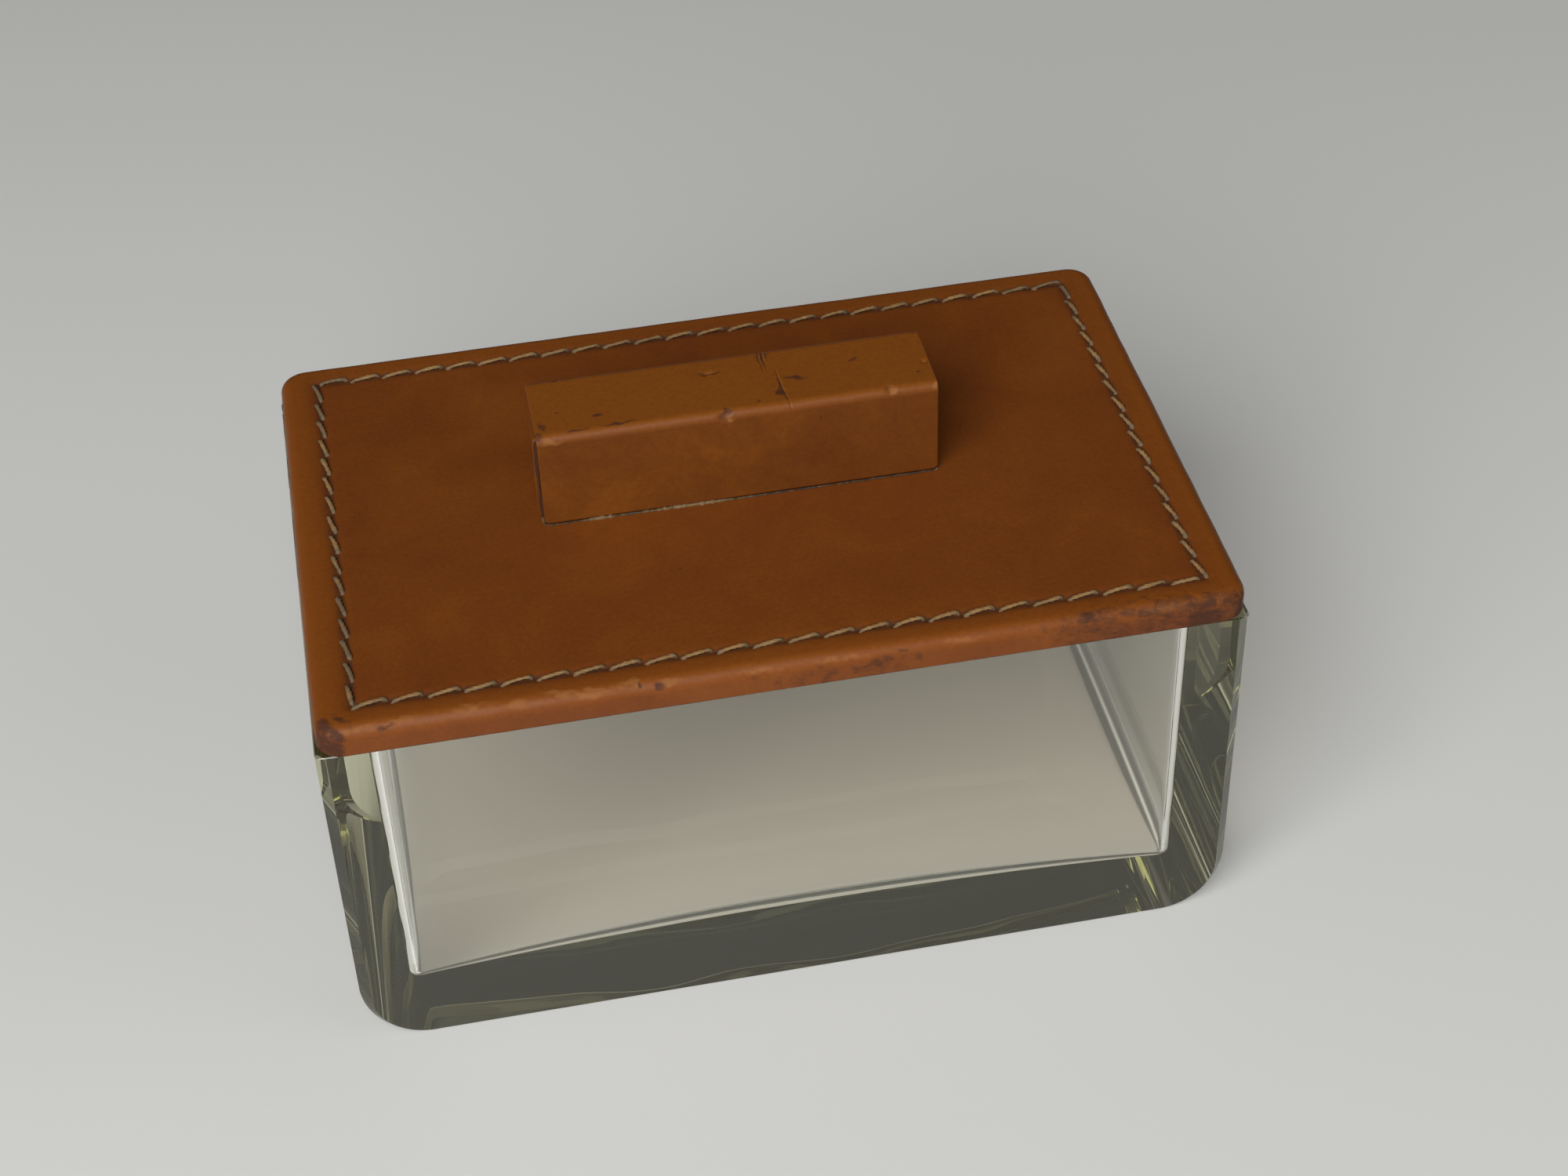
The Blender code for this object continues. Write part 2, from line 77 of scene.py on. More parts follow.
# How finely the round ends and the hollow are divided: along, across, round a corner, and down to the middle
BOTTOM_ROUND_STEPS = 36
CAVITY_OUTLINE_STEPS = (110, 64, 20)
WALL_STEPS, FILLET_STEPS, FLOOR_STEPS = 40, 20, 29


def linear(hex_colour):
    """An sRGB colour such as "c86432" as the linear colour that a shader takes."""
    parts = [int(hex_colour[i : i + 2], 16) / 255 for i in (0, 2, 4)]
    return (*[c / 12.92 if c <= 0.04045 else ((c + 0.055) / 1.055) ** 2.4 for c in parts], 1)


def add_node(tree, kind, inputs=None, ramp=None, **settings):
    """Adds a node. inputs gives sockets a value or another node's output, and ramp a colour ramp's stops."""
    node = tree.nodes.new(kind)
    for name, value in settings.items():
        setattr(node, name, value)
    for name, value in (inputs or {}).items():
        if isinstance(value, bpy.types.NodeSocket):
            tree.links.new(value, node.inputs[name])
        else:
            node.inputs[name].default_value = value
    if ramp:
        stops = node.color_ramp.elements
        while len(stops) < len(ramp):
            stops.new(1)
        for stop, (place, colour) in zip(stops, ramp):
            stop.position = place
            stop.color = colour
    return node


def new_material(name, **surface):
    """A material with one Principled shader, and its node tree."""
    material = bpy.data.materials.new(name)
    material.use_nodes = True
    shader = material.node_tree.nodes["Principled BSDF"]
    for socket, value in surface.items():
        shader.inputs[socket.replace("_", " ").title()].default_value = value
    return material, material.node_tree, shader


def new_piece(mesh, name, material, body, replaced=None, sharp=math.radians(180)):
    """Shows a mesh as a smooth piece that rides on a body, in place of a CAD node."""
    mesh.shade_smooth()
    mesh.set_sharp_from_angle(angle=sharp)
    mesh.materials.append(material)
    piece = bpy.data.objects.new(name, mesh)
    bpy.context.scene.collection.objects.link(piece)
    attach(piece, body)
    if replaced:
        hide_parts(replaced)
    return piece


def mesh_of(points, faces, name):
    """A mesh whose faces look outward, with points that coincide joined."""
    mesh = bpy.data.meshes.new(name)
    mesh.from_pydata(np.reshape(points, (-1, 3)).tolist(), [], [list(map(int, face)) for face in faces])
    bm = bmesh.new()
    bm.from_mesh(mesh)
    bmesh.ops.remove_doubles(bm, verts=bm.verts, dist=MM / 1000)
    bmesh.ops.recalc_face_normals(bm, faces=bm.faces)
    bm.to_mesh(mesh)
    bm.free()
    return mesh


def rounded_outline(half_x, half_y, radius, long_steps, short_steps, corner_steps):
    """Points of a rounded rectangle and the ways they face, anticlockwise from the front's left end."""
    points, outward = [], []
    for quarter in range(4):
        half, reach, steps = ((half_x, half_y, long_steps), (half_y, half_x, short_steps))[quarter % 2]
        along = np.linspace(radius - half, half - radius, steps, endpoint=False)
        angle = np.radians(np.linspace(-90, 0, corner_steps, endpoint=False))
        arc = np.stack((np.cos(angle), np.sin(angle)), 1)
        side = np.stack((along, np.full(steps, -reach)), 1)
        corner = arc * radius + (half - radius, radius - reach)
        turn = np.array(Matrix.Rotation(math.radians(90 * quarter), 2))
        points.append(np.concatenate((side, corner)) @ turn.T)
        outward.append(np.concatenate((np.tile((0.0, -1.0), (steps, 1)), arc)) @ turn.T)
    return np.concatenate(points), np.concatenate(outward)


def skin_over(levels, name):
    """A closed mesh over a stack of rings, each with as many points, with its ends filled."""
    index = np.arange(len(levels) * len(levels[0])).reshape(len(levels), -1)
    after = np.roll(index, -1, 1)
    quads = np.stack((index[:-1], after[:-1], after[1:], index[1:]), 2).reshape(-1, 4)
    return mesh_of(levels, [*quads, index[0], index[-1]], name)


def outside_of_glass():
    """The ground outside: round lower ends, and chamfers that fade out round them."""
    bm = bmesh.new()
    scale = Matrix.Diagonal((GLASS_LENGTH, GLASS_DEPTH, GLASS_HEIGHT, 1))
    bmesh.ops.create_cube(bm, size=1, matrix=Matrix.Translation((0, 0, GLASS_HEIGHT / 2)) @ scale)
    low_edges = [edge for edge in bm.edges if max(corner.co.z for corner in edge.verts) < NEAR]
    ends = [edge for edge in low_edges if edge.verts[0].co.x == edge.verts[1].co.x]
    bmesh.ops.bevel(
        bm, geom=ends, offset=BOTTOM_ROUND, segments=BOTTOM_ROUND_STEPS, profile=0.5, affect="EDGES"
    )
    glass = bpy.data.objects.new("glass_outside", bpy.data.meshes.new("glass_outside"))
    bm.to_mesh(glass.data)
    bm.free()
    bpy.context.scene.collection.objects.link(glass)
    weights = glass.data.attributes.new("bevel_weight_edge", "FLOAT", "EDGE")
    arris_share = GROUND_ARRIS / CORNER_CHAMFER
    for edge in glass.data.edges:
        middle = sum((glass.data.vertices[i].co for i in edge.vertices), Vector()) / 2
        share = arris_share + (1 - arris_share) * min(middle.z / BOTTOM_ROUND, 1)
        if middle.z > GLASS_HEIGHT - NEAR:
            share = arris_share
        elif abs(middle.y) < GLASS_DEPTH / 2 - NEAR:
            share = 0
        weights.data[edge.index].value = share
    chamfer = glass.modifiers.new("chamfer", "BEVEL")
    chamfer.limit_method = "WEIGHT"
    chamfer.width = CORNER_CHAMFER
    chamfer.segments = 1
    return glass


def soft_noise(points, size, seed):
    """Smooth noise from -1 to 1 with lumps of that size, or of one size for each axis."""
    shift = Vector((seed, 2 * seed, 0))
    return np.array([noise.noise(Vector(point) + shift) for point in points / size])


def hollow_of_glass():
    """The moulded hollow: drafted walls, fillets that widen along the sides, and a crowned floor."""
    mouth = GLASS_HEIGHT - GROUND_ARRIS
    half_x = GLASS_LENGTH / 2 - END_WALL
    half_y = GLASS_DEPTH / 2 - SIDE_WALL
    plan, outward = rounded_outline(half_x, half_y, CAVITY_CORNER_RADIUS, *CAVITY_OUTLINE_STEPS)
    share_x, share_y = 1 - (plan / (half_x, half_y)).T ** 2
    side_fillet = np.where(plan[:, 1] < 0, FRONT_FILLET, BACK_FILLET) - CORNER_FILLET
    fillet = CORNER_FILLET + np.maximum(side_fillet * share_x, (END_FILLET - CORNER_FILLET) * share_y)

    def floor_at(points):
        along = np.clip(np.abs(points[:, 0]) / half_x, 0, 1)
        flat = np.column_stack((points, np.zeros(len(points))))
        wave = FLOOR_WAVE_HEIGHT * soft_noise(flat, FLOOR_WAVE_LENGTH, seed=5)
        return FLOOR_HEIGHT + FLOOR_CROWN * (1 - along**FLOOR_CROWN_POWER) + wave

    foot = floor_at(plan) + fillet
    levels = []
    for height in (mouth + CUT_OVERRUN, mouth + CUT_OVERRUN / 2, mouth):
        levels.append(np.column_stack((plan + outward * (height - mouth), np.full(len(plan), height))))
    for share in np.linspace(0, 1, WALL_STEPS + 1)[1:]:
        points = np.column_stack((plan, mouth + (foot - mouth) * share))
        wave = SIDE_WAVE_HEIGHT * soft_noise(points, SIDE_WAVE_LENGTH, seed=5)
        end_wave = soft_noise(points, (END_WAVE_LENGTH, END_WAVE_LENGTH, END_WAVE_RISE), seed=9)
        wave += END_WAVE_HEIGHT * end_wave * outward[:, 0] ** 2
        points[:, :2] -= outward * ((CAVITY_DRAFT + wave) * share)[:, None]
        levels.append(points)
    wall = levels[-1]
    for angle in np.radians(np.linspace(0, 90, FILLET_STEPS + 1)[1:]):
        inward = outward * (fillet * (1 - math.cos(angle)))[:, None]
        levels.append(np.column_stack((wall[:, :2] - inward, wall[:, 2] - fillet * math.sin(angle))))
    edge = levels[-1][:, :2]
    spine = np.column_stack((np.clip(edge[:, 0], half_y - half_x, half_x - half_y), np.zeros(len(edge))))
    for share in np.linspace(0, 1, FLOOR_STEPS + 1)[1:]:
        points = edge + (spine - edge) * share
        levels.append(np.column_stack((points, floor_at(points))))
    hollow = bpy.data.objects.new("glass_hollow", skin_over(levels, "glass_hollow"))
    bpy.context.scene.collection.objects.link(hollow)
    return hollow


glass_outside = outside_of_glass()
glass_hollow = hollow_of_glass()
hollowing = glass_outside.modifiers.new("hollowing", "BOOLEAN")
hollowing.operation = "DIFFERENCE"
hollowing.solver = "EXACT"
hollowing.object = glass_hollow

# Soda-lime glass, polished: clear across a wall, olive where light runs along it. Light between lamps and
# matt surfaces passes unbent wherever a wall or the floor has its other face straight behind it. Where it
# meets a solid corner, a fillet or a round it is turned aside, and leaves the table there in shade. A thin
# white line is painted at the foot of each end wall: a painted highlight for the light the fillets gather.
ABSORPTION_PER_METRE = (1.2, 1.3, 4.2)
ABSORPTION_DENSITY = 8.0
PASSED_AT_A_FACE = (0.932, 0.910, 0.893, 1)
PASSED_ELSEWHERE = (0.30, 0.30, 0.28, 1)
LEVEL_ENOUGH = 0.97
FLOOR_SLACK = 0.5 * MM
FOOT_HIGHLIGHT_INSET, FOOT_HIGHLIGHT_WIDTH, FOOT_HIGHLIGHT_SHARE = 1.6 * MM, 0.45 * MM, 0.85
pressed_glass, tree, shader = new_material("pressed_soda_lime_glass", base_color=(1, 1, 1, 1), roughness=0.0)
shader.inputs["IOR"].default_value = 1.52
shader.inputs["Transmission Weight"].default_value = 1.0
inside = add_node(tree, "ShaderNodeVolumeAbsorption", {
    "Color": (*[1 - share / ABSORPTION_DENSITY for share in ABSORPTION_PER_METRE], 1),
    "Density": ABSORPTION_DENSITY,
})
tree.links.new(inside.outputs["Volume"], tree.nodes["Material Output"].inputs["Volume"])


def axis_sizes(tree, vector):
    """The sizes of a vector's three parts, without their signs."""
    sizes = add_node(tree, "ShaderNodeVectorMath", {0: vector}, operation="ABSOLUTE").outputs[0]
    return add_node(tree, "ShaderNodeSeparateXYZ", {0: sizes}).outputs


# Where two of the walls and the floor meet, the glass is solid and no face lies straight behind
place = add_node(tree, "ShaderNodeTexCoord").outputs["Object"]
from_middle, from_side, above_table = axis_sizes(tree, place)
solid_ways = 0.0
for distance, test, wall in (
    (from_middle, "GREATER_THAN", GLASS_LENGTH / 2 - END_WALL + NEAR),
    (from_side, "GREATER_THAN", GLASS_DEPTH / 2 - SIDE_WALL + NEAR),
    (above_table, "LESS_THAN", FLOOR_HEIGHT - FLOOR_SLACK),
):
    in_wall = add_node(tree, "ShaderNodeMath", {0: distance, 1: wall}, operation=test).outputs[0]
    solid_ways = add_node(tree, "ShaderNodeMath", {0: solid_ways, 1: in_wall}).outputs[0]
normal = add_node(tree, "ShaderNodeNewGeometry").outputs["Normal"]
largest = 0.0
for size in axis_sizes(tree, normal):
    largest = add_node(tree, "ShaderNodeMath", {0: largest, 1: size}, operation="MAXIMUM").outputs[0]
face_behind = add_node(tree, "ShaderNodeMath", {0: solid_ways, 1: 1.5}, operation="LESS_THAN").outputs[0]
level = add_node(tree, "ShaderNodeMath", {0: largest, 1: LEVEL_ENOUGH}, operation="GREATER_THAN").outputs[0]
unbent = add_node(tree, "ShaderNodeMath", {0: face_behind, 1: level}, operation="MULTIPLY").outputs[0]
passed = add_node(
    tree, "ShaderNodeMix", {0: unbent, 6: PASSED_ELSEWHERE, 7: PASSED_AT_A_FACE}, data_type="RGBA"
).outputs[2]
passing = add_node(tree, "ShaderNodeBsdfTransparent", {"Color": passed}).outputs["BSDF"]
light_path = add_node(tree, "ShaderNodeLightPath").outputs
lighting = add_node(tree, "ShaderNodeMath", {
    0: light_path["Is Diffuse Ray"], 1: light_path["Is Shadow Ray"],
}).outputs[0]
clear = {0: lighting, 1: shader.outputs["BSDF"], 2: passing}
surface = add_node(tree, "ShaderNodeMixShader", clear).outputs[0]

# The painted highlight: a band of matt white mixed into the glass along the foot of each end wall
line_place = GLASS_LENGTH / 2 - END_WALL - FOOT_HIGHLIGHT_INSET
off_line = add_node(tree, "ShaderNodeMath", {0: from_middle, 1: line_place}, operation="SUBTRACT").outputs[0]
off_line = add_node(tree, "ShaderNodeMath", {0: off_line}, operation="ABSOLUTE").outputs[0]
foot_highlight = add_node(tree, "ShaderNodeMapRange", {
    "Value": off_line, 1: FOOT_HIGHLIGHT_WIDTH, 2: 0, 3: 0, 4: FOOT_HIGHLIGHT_SHARE,
}).outputs[0]
for distance, test, limit in (
    (from_side, "LESS_THAN", GLASS_DEPTH / 2 - SIDE_WALL),
    (above_table, "GREATER_THAN", FLOOR_HEIGHT - FLOOR_SLACK),
    (above_table, "LESS_THAN", FLOOR_HEIGHT + END_FILLET),
):
    within = add_node(tree, "ShaderNodeMath", {0: distance, 1: limit}, operation=test).outputs[0]
    foot_highlight = add_node(tree, "ShaderNodeMath", {0: foot_highlight, 1: within}, operation="MULTIPLY").outputs[0]
highlight_white = add_node(tree, "ShaderNodeBsdfDiffuse", {"Color": linear("e4e4de")}).outputs["BSDF"]
surface = add_node(tree, "ShaderNodeMixShader", {0: foot_highlight, 1: surface, 2: highlight_white}).outputs[0]
tree.links.new(surface, tree.nodes["Material Output"].inputs["Surface"])

bpy.context.view_layer.update()
graph = bpy.context.evaluated_depsgraph_get()
glass_mesh = bpy.data.meshes.new_from_object(glass_outside.evaluated_get(graph))
for helper in (glass_outside, glass_hollow):
    bpy.data.objects.remove(helper)
new_piece(glass_mesh, "glass_body", pressed_glass, "glass", "glass_box", SOFT_EDGE_ANGLE)


# The lid's inside. A plywood board is grooved for the thread, card levels the underside, and a second thin
# board, skinned with suede round its edge and below, drops into the glass. A shut lid hides all of it.
def dress(material, *nodes):
    """Gives CAD nodes that stay in view a finished material."""
    for node in nodes:
        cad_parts[node].material_slots[0].material = material


# Birch ply, sanded: pale, with soft brown grain that runs along the box and a dull surface
GRAIN_STRETCH = (0.06, 1, 1)
PLY_FIGURE_SIZE, PLY_FIBRE_HEIGHT = 3 * MM, 0.05 * MM
plywood, tree, shader = new_material("sanded_birch_ply", roughness=0.6)
place = add_node(tree, "ShaderNodeTexCoord").outputs["Object"]
along_grain = add_node(tree, "ShaderNodeMapping", {"Vector": place, "Scale": GRAIN_STRETCH}).outputs["Vector"]
figure = add_node(tree, "ShaderNodeTexNoise", {
    "Vector": along_grain, "Scale": 1 / PLY_FIGURE_SIZE, "Detail": 6, "Roughness": 0.6, "Distortion": 0.4,
}).outputs["Fac"]
tone = add_node(tree, "ShaderNodeValToRGB", {"Fac": figure}, ramp=(
    (0.3, linear("9c744a")), (0.7, linear("c39d6d")),
))
fibres = add_node(tree, "ShaderNodeBump", {"Strength": 0.4, "Distance": PLY_FIBRE_HEIGHT, "Height": figure})
tree.links.new(tone.outputs["Color"], shader.inputs["Base Color"])
tree.links.new(fibres.outputs["Normal"], shader.inputs["Normal"])
dress(plywood, "lid_board", "locating_panel")

# Solid beech for the handle's core: redder than the ply, with short dark flecks
BEECH_FLECK_SIZE = 1.5 * MM
beech, tree, shader = new_material("planed_beech", roughness=0.55)
place = add_node(tree, "ShaderNodeTexCoord").outputs["Object"]
along_grain = add_node(tree, "ShaderNodeMapping", {"Vector": place, "Scale": GRAIN_STRETCH}).outputs["Vector"]
flecks = add_node(tree, "ShaderNodeTexNoise", {
    "Vector": along_grain, "Scale": 1 / BEECH_FLECK_SIZE, "Detail": 5, "Roughness": 0.7,
}).outputs["Fac"]
tone = add_node(tree, "ShaderNodeValToRGB", {"Fac": flecks}, ramp=(
    (0.35, linear("7a5030")), (0.65, linear("9a6b42")),
))
tree.links.new(tone.outputs["Color"], shader.inputs["Base Color"])
dress(beech, "handle_block")

# Bookbinder's greyboard under the lid: matt brown-grey fibre with pale and dark specks
GREYBOARD_SPECK_SIZE = 0.8 * MM
greyboard, tree, shader = new_material("pressed_greyboard", roughness=0.9)
place = add_node(tree, "ShaderNodeTexCoord").outputs["Object"]
specks = add_node(tree, "ShaderNodeTexNoise", {
    "Vector": place, "Scale": 1 / GREYBOARD_SPECK_SIZE, "Detail": 3, "Roughness": 0.8,
}).outputs["Fac"]
tone = add_node(tree, "ShaderNodeValToRGB", {"Fac": specks}, ramp=(
    (0.3, linear("5f5142")), (0.7, linear("8a7963")),
))
tree.links.new(tone.outputs["Color"], shader.inputs["Base Color"])
dress(greyboard, "underside_filler")

# Brushed suede: a short nap that lies in clouds a centimetre across, and glows a little at its edges
SUEDE_CLOUD_SIZE, SUEDE_NAP_SIZE, SUEDE_NAP_HEIGHT = 11 * MM, 0.5 * MM, 0.15 * MM
suede, tree, shader = new_material(
    "brushed_suede", roughness=0.95, sheen_weight=0.15, sheen_tint=linear("a07a58")
)
place = add_node(tree, "ShaderNodeTexCoord").outputs["Object"]
clouds = add_node(tree, "ShaderNodeTexNoise", {
    "Vector": place, "Scale": 1 / SUEDE_CLOUD_SIZE, "Detail": 3,
}).outputs["Fac"]
nap = add_node(tree, "ShaderNodeTexNoise", {
    "Vector": place, "Scale": 1 / SUEDE_NAP_SIZE, "Detail": 2,
}).outputs["Fac"]
tone = add_node(tree, "ShaderNodeValToRGB", {"Fac": clouds}, ramp=(
    (0.35, linear("4a3122")), (0.65, linear("5f412d")),
))
raised = add_node(tree, "ShaderNodeBump", {"Strength": 0.8, "Distance": SUEDE_NAP_HEIGHT, "Height": nap})
tree.links.new(tone.outputs["Color"], shader.inputs["Base Color"])
tree.links.new(raised.outputs["Normal"], shader.inputs["Normal"])
dress(suede, "locating_panel_suede")


# The leather over the lid. One hide piece, vegetable-tanned and waxed, is pulled over the board and turned
# under as a hem. Years of handling rubbed its front edge pale and stained its corners.
lid_low, lid_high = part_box("lid_cover")
LEATHER_THICKNESS = 1.2 * MM
LID_CORNER_RADIUS = 5.2 * MM
TOP_EDGE_RADIUS = 2.4 * MM
LOWER_EDGE_RADIUS = 0.6 * MM
HEM_WIDTH = 13 * MM
HEM_EDGE_ROUND = 0.3 * MM
STITCH_HALF_LENGTH = 77.5 * MM
STITCH_HALF_DEPTH = 48.9 * MM
STITCH_COUNTS = (16, 24, 17, 24)
AWL_ANGLE = math.radians(45)
GROOVE_DEPTH, GROOVE_REACH = 0.26 * MM, 1.0 * MM
HOLE_DIP, HOLE_REACH = 0.12 * MM, 0.8 * MM
MARGIN_PUFF = 0.12 * MM
DENT_HEIGHT, DENT_SIZE = 0.10 * MM, 24 * MM
EDGE_RIPPLE, EDGE_RIPPLE_SIZE = 0.28 * MM, 7 * MM
# The shell's cross-section: fine rows start at the margin, and the inner face stays clear of the outer rounds
FINE_ROWS_FROM = 15 * MM
FIELD_ROWS, MARGIN_ROWS, ROUND_ROWS, HEM_ROWS = 32, 30, 9, 9
HEM_TOP_ROWS, UNDERSIDE_ROWS = 4, 9
EDGE_FACE_START = 0.7 * MM
INNER_FOOT, INNER_SHOULDER = 1.3 * LEATHER_THICKNESS, 1.6 * LEATHER_THICKNESS
LEAST_CORNER_RADIUS = 0.3 * MM
LID_OUTLINE_STEPS = (280, 172, 12)
# Marks on the leather, each with its middle, half length, half width and turn, in millimetres and degrees.
# Their outlines are ragged by a share of their smaller half size.
RAGGEDNESS, RAGGED_SIZE = 0.9, 1.6 * MM
EDGE_SCUFFS = (
    (-77, -54.4, 4, 0.9, 4), (-69, -54.0, 4, 0.7, 0), (-57, -53.8, 5, 0.9, 3), (-50, -54.6, 3, 1.0, 0),
    (-42, -53.6, 4, 1.1, -4), (-36, -54.4, 5, 1.2, 0), (-29, -53.6, 4, 1.2, 6), (-22, -54.6, 3, 0.7, 0),
    (-6, -54.8, 5, 0.5, 0), (9, -55.0, 8, 0.5, 0), (31, -54.9, 6, 0.5, 0), (68, -54.9, 6, 0.6, 0),
    (83.6, -53.8, 1.5, 1.0, 45), (84.6, 20, 0.6, 8, 0), (-84.6, -20, 0.5, 9, 0),
)
CORNER_STAINS = (
    (-84.6, -55.0, 6.5, 4.6, 8), (84.4, -54.6, 3.0, 2.0, -20), (84.4, 54.6, 2.2, 2, 0),
    (-84.4, 54.6, 2.2, 2, 0), (76.5, -55.4, 6.0, 1.3, 0),
)
EDGE_NICKS = (
    (53.7, -54.8, 2.2, 1.4, 0), (-44.9, -55.2, 0.6, 0.5, 0), (-73, -54.9, 3.0, 0.5, 8),
    (-24, -54.9, 1.2, 0.5, 0), (20, -55.1, 2.0, 0.4, -5), (56.5, -54.0, 0.8, 0.6, 0),
    (-27, -54.2, 0.8, 0.9, 0),
)
DARK_FRONT = ((74, -55, 38, 3, 0), (10, -56.15, 30, 1.0, 0))
SURFACE_SPOTS = (
    (-45, -18, 3.0, 0.6, -38), (-8.3, -30.8, 0.45, 0.4, 0), (-36.3, -16.9, 0.35, 0.35, 0),
    (-34, -20, 1.2, 0.8, 0), (-15.5, -25, 1.0, 0.7, 30), (24, -36, 0.5, 0.4, 0), (51, -12, 0.5, 0.5, 0),
)


def dabs(points, marks):
    """How strongly soft marks with ragged outlines cover points, seen from above."""
    cover = np.zeros(len(points))
    ragged = np.column_stack([soft_noise(points, RAGGED_SIZE, seed=seed) for seed in (51, 57)])
    for x, y, half_length, half_width, turn in marks:
        c, s = math.cos(math.radians(turn)), math.sin(math.radians(turn))
        dx, dy = (points[:, :2] / MM - (x, y) + ragged * RAGGEDNESS * min(half_length, half_width)).T
        along, across = (c * dx + s * dy) / half_length, (c * dy - s * dx) / half_width
        cover = np.maximum(cover, np.exp(-((along**2 + across**2) ** 1.5)))
    return cover


def paint_marks(mesh, *shares):
    """Keeps three shares at each vertex, as the red, green and blue of an attribute named marks."""
    marks = mesh.attributes.new("marks", "FLOAT_COLOR", "POINT")
    ones = np.ones(len(mesh.vertices))
    marks.data.foreach_set("color", np.column_stack((*shares, ones)).astype(np.float32).ravel())


def painted_marks(tree):
    """The three shares that paint_marks keeps, for a material."""
    marks = add_node(tree, "ShaderNodeVertexColor", layer_name="marks").outputs["Color"]
    return add_node(tree, "ShaderNodeSeparateColor", {"Color": marks}).outputs


def vertex_places(mesh):
    """Where each vertex is, one row each."""
    places = np.empty(len(mesh.vertices) * 3, np.float32)
    mesh.vertices.foreach_get("co", places)
    return places.reshape(-1, 3).astype(float)


def stitch_holes():
    """Each awl slit's place on the lid and the way it slants, anticlockwise from the back left corner."""
    x, y = STITCH_HALF_LENGTH, STITCH_HALF_DEPTH
    corners = [Vector(c) for c in ((-x, y), (-x, -y), (x, -y), (x, y))]
    runs = [(corners[(i + 1) % 4] - corners[i]).normalized() for i in range(4)]
    turn = Matrix.Rotation(-AWL_ANGLE, 2)
    holes = []
    for i, count in enumerate(STITCH_COUNTS):
        for step in range(count):
            slant = turn @ (runs[i] + (runs[i - 1] if step == 0 else runs[i]))
            holes.append((corners[i].lerp(corners[(i + 1) % 4], step / count), slant.normalized()))
    return holes


def past_stitching(points):
    """How far points lie outside the stitched rectangle, less than nothing inside it."""
    reach = np.abs(points[:, :2]) - (STITCH_HALF_LENGTH, STITCH_HALF_DEPTH)
    return np.hypot(*np.maximum(reach, 0).T) + np.minimum(reach.max(1), 0)


def near_holes(points, reach):
    """1 at an awl slit, and less away from it."""
    places = np.array([hole for hole, _ in stitch_holes()])
    distance = np.sqrt(((points[:, None, :2] - places[None]) ** 2).sum(2)).min(1)
    return np.exp(-((distance / reach) ** 2))


def leather_relief(points):
    """How far the face stands proud: sunk along the thread, puffed outside it, gently dented all over."""
    past = past_stitching(points)
    margin = np.clip(past / (lid_high.y - STITCH_HALF_DEPTH), 0, 1)
    relief = DENT_HEIGHT * soft_noise(points, DENT_SIZE, seed=3) + MARGIN_PUFF * np.sin(math.pi * margin)
    relief -= GROOVE_DEPTH * np.exp(-((past / GROOVE_REACH) ** 2))
    return relief - HOLE_DIP * near_holes(points, HOLE_REACH)


def lid_leather():
    """The closed shell of leather: over the top, round the edge, under as the hem, and back inside."""
    top, bottom, middle = lid_high.z, lid_low.z, lid_high.y
    above_hem = bottom + LEATHER_THICKNESS
    field = np.linspace(middle, FINE_ROWS_FROM, FIELD_ROWS)[:-1]
    margin = np.linspace(FINE_ROWS_FROM, TOP_EDGE_RADIUS, MARGIN_ROWS)[:-1]
    hem = np.linspace(LOWER_EDGE_RADIUS, HEM_WIDTH - HEM_EDGE_ROUND, HEM_ROWS)[1:]
    over_hem = np.linspace(HEM_WIDTH - HEM_EDGE_ROUND, INNER_FOOT, HEM_TOP_ROWS)
    under_field = np.linspace(INNER_SHOULDER, middle, UNDERSIDE_ROWS)
    profile = [(inset, top, 90) for inset in (*field, *margin)]
    for turn in np.radians(np.linspace(90, 0, ROUND_ROWS)):
        inset = TOP_EDGE_RADIUS * (1 - math.cos(turn))
        profile.append((inset, top - TOP_EDGE_RADIUS * (1 - math.sin(turn)), math.degrees(turn)))
    profile += [(0, top - TOP_EDGE_RADIUS - EDGE_FACE_START, 0), (0, bottom + LOWER_EDGE_RADIUS, 0)]
    for turn in np.radians(np.linspace(0, 90, ROUND_ROWS))[1:]:
        inset = LOWER_EDGE_RADIUS * (1 - math.cos(turn))
        profile.append((inset, bottom + LOWER_EDGE_RADIUS * (1 - math.sin(turn)), -math.degrees(turn)))
    profile += [(inset, bottom, None) for inset in hem]
    profile += [(HEM_WIDTH, bottom + HEM_EDGE_ROUND, None), (HEM_WIDTH, above_hem - HEM_EDGE_ROUND, None)]
    profile += [(inset, above_hem, None) for inset in over_hem]
    profile.append((LEATHER_THICKNESS, bottom + INNER_FOOT, None))
    profile.append((LEATHER_THICKNESS, top - INNER_SHOULDER, None))
    profile += [(inset, top - LEATHER_THICKNESS, None) for inset in under_field]
    levels = []
    for inset, height, slope in profile:
        radius = 0 if inset == middle else max(LID_CORNER_RADIUS - inset, LEAST_CORNER_RADIUS)
        half_x, half_y = lid_high.x - inset, lid_high.y - inset
        plan, outward = rounded_outline(half_x, half_y, radius, *LID_OUTLINE_STEPS)
        points = np.column_stack((plan, np.full(len(plan), height)))
        if slope is not None:
            lean = math.radians(slope)
            facing = np.column_stack((outward * math.cos(lean), np.full(len(plan), math.sin(lean))))
            ripple = EDGE_RIPPLE * (soft_noise(points, EDGE_RIPPLE_SIZE, seed=7) - 1) / 2 * math.cos(lean)
            points += facing * (leather_relief(points) * max(math.sin(lean), 0) + ripple)[:, None]
        levels.append(points)
    return skin_over(levels, "lid_leather")


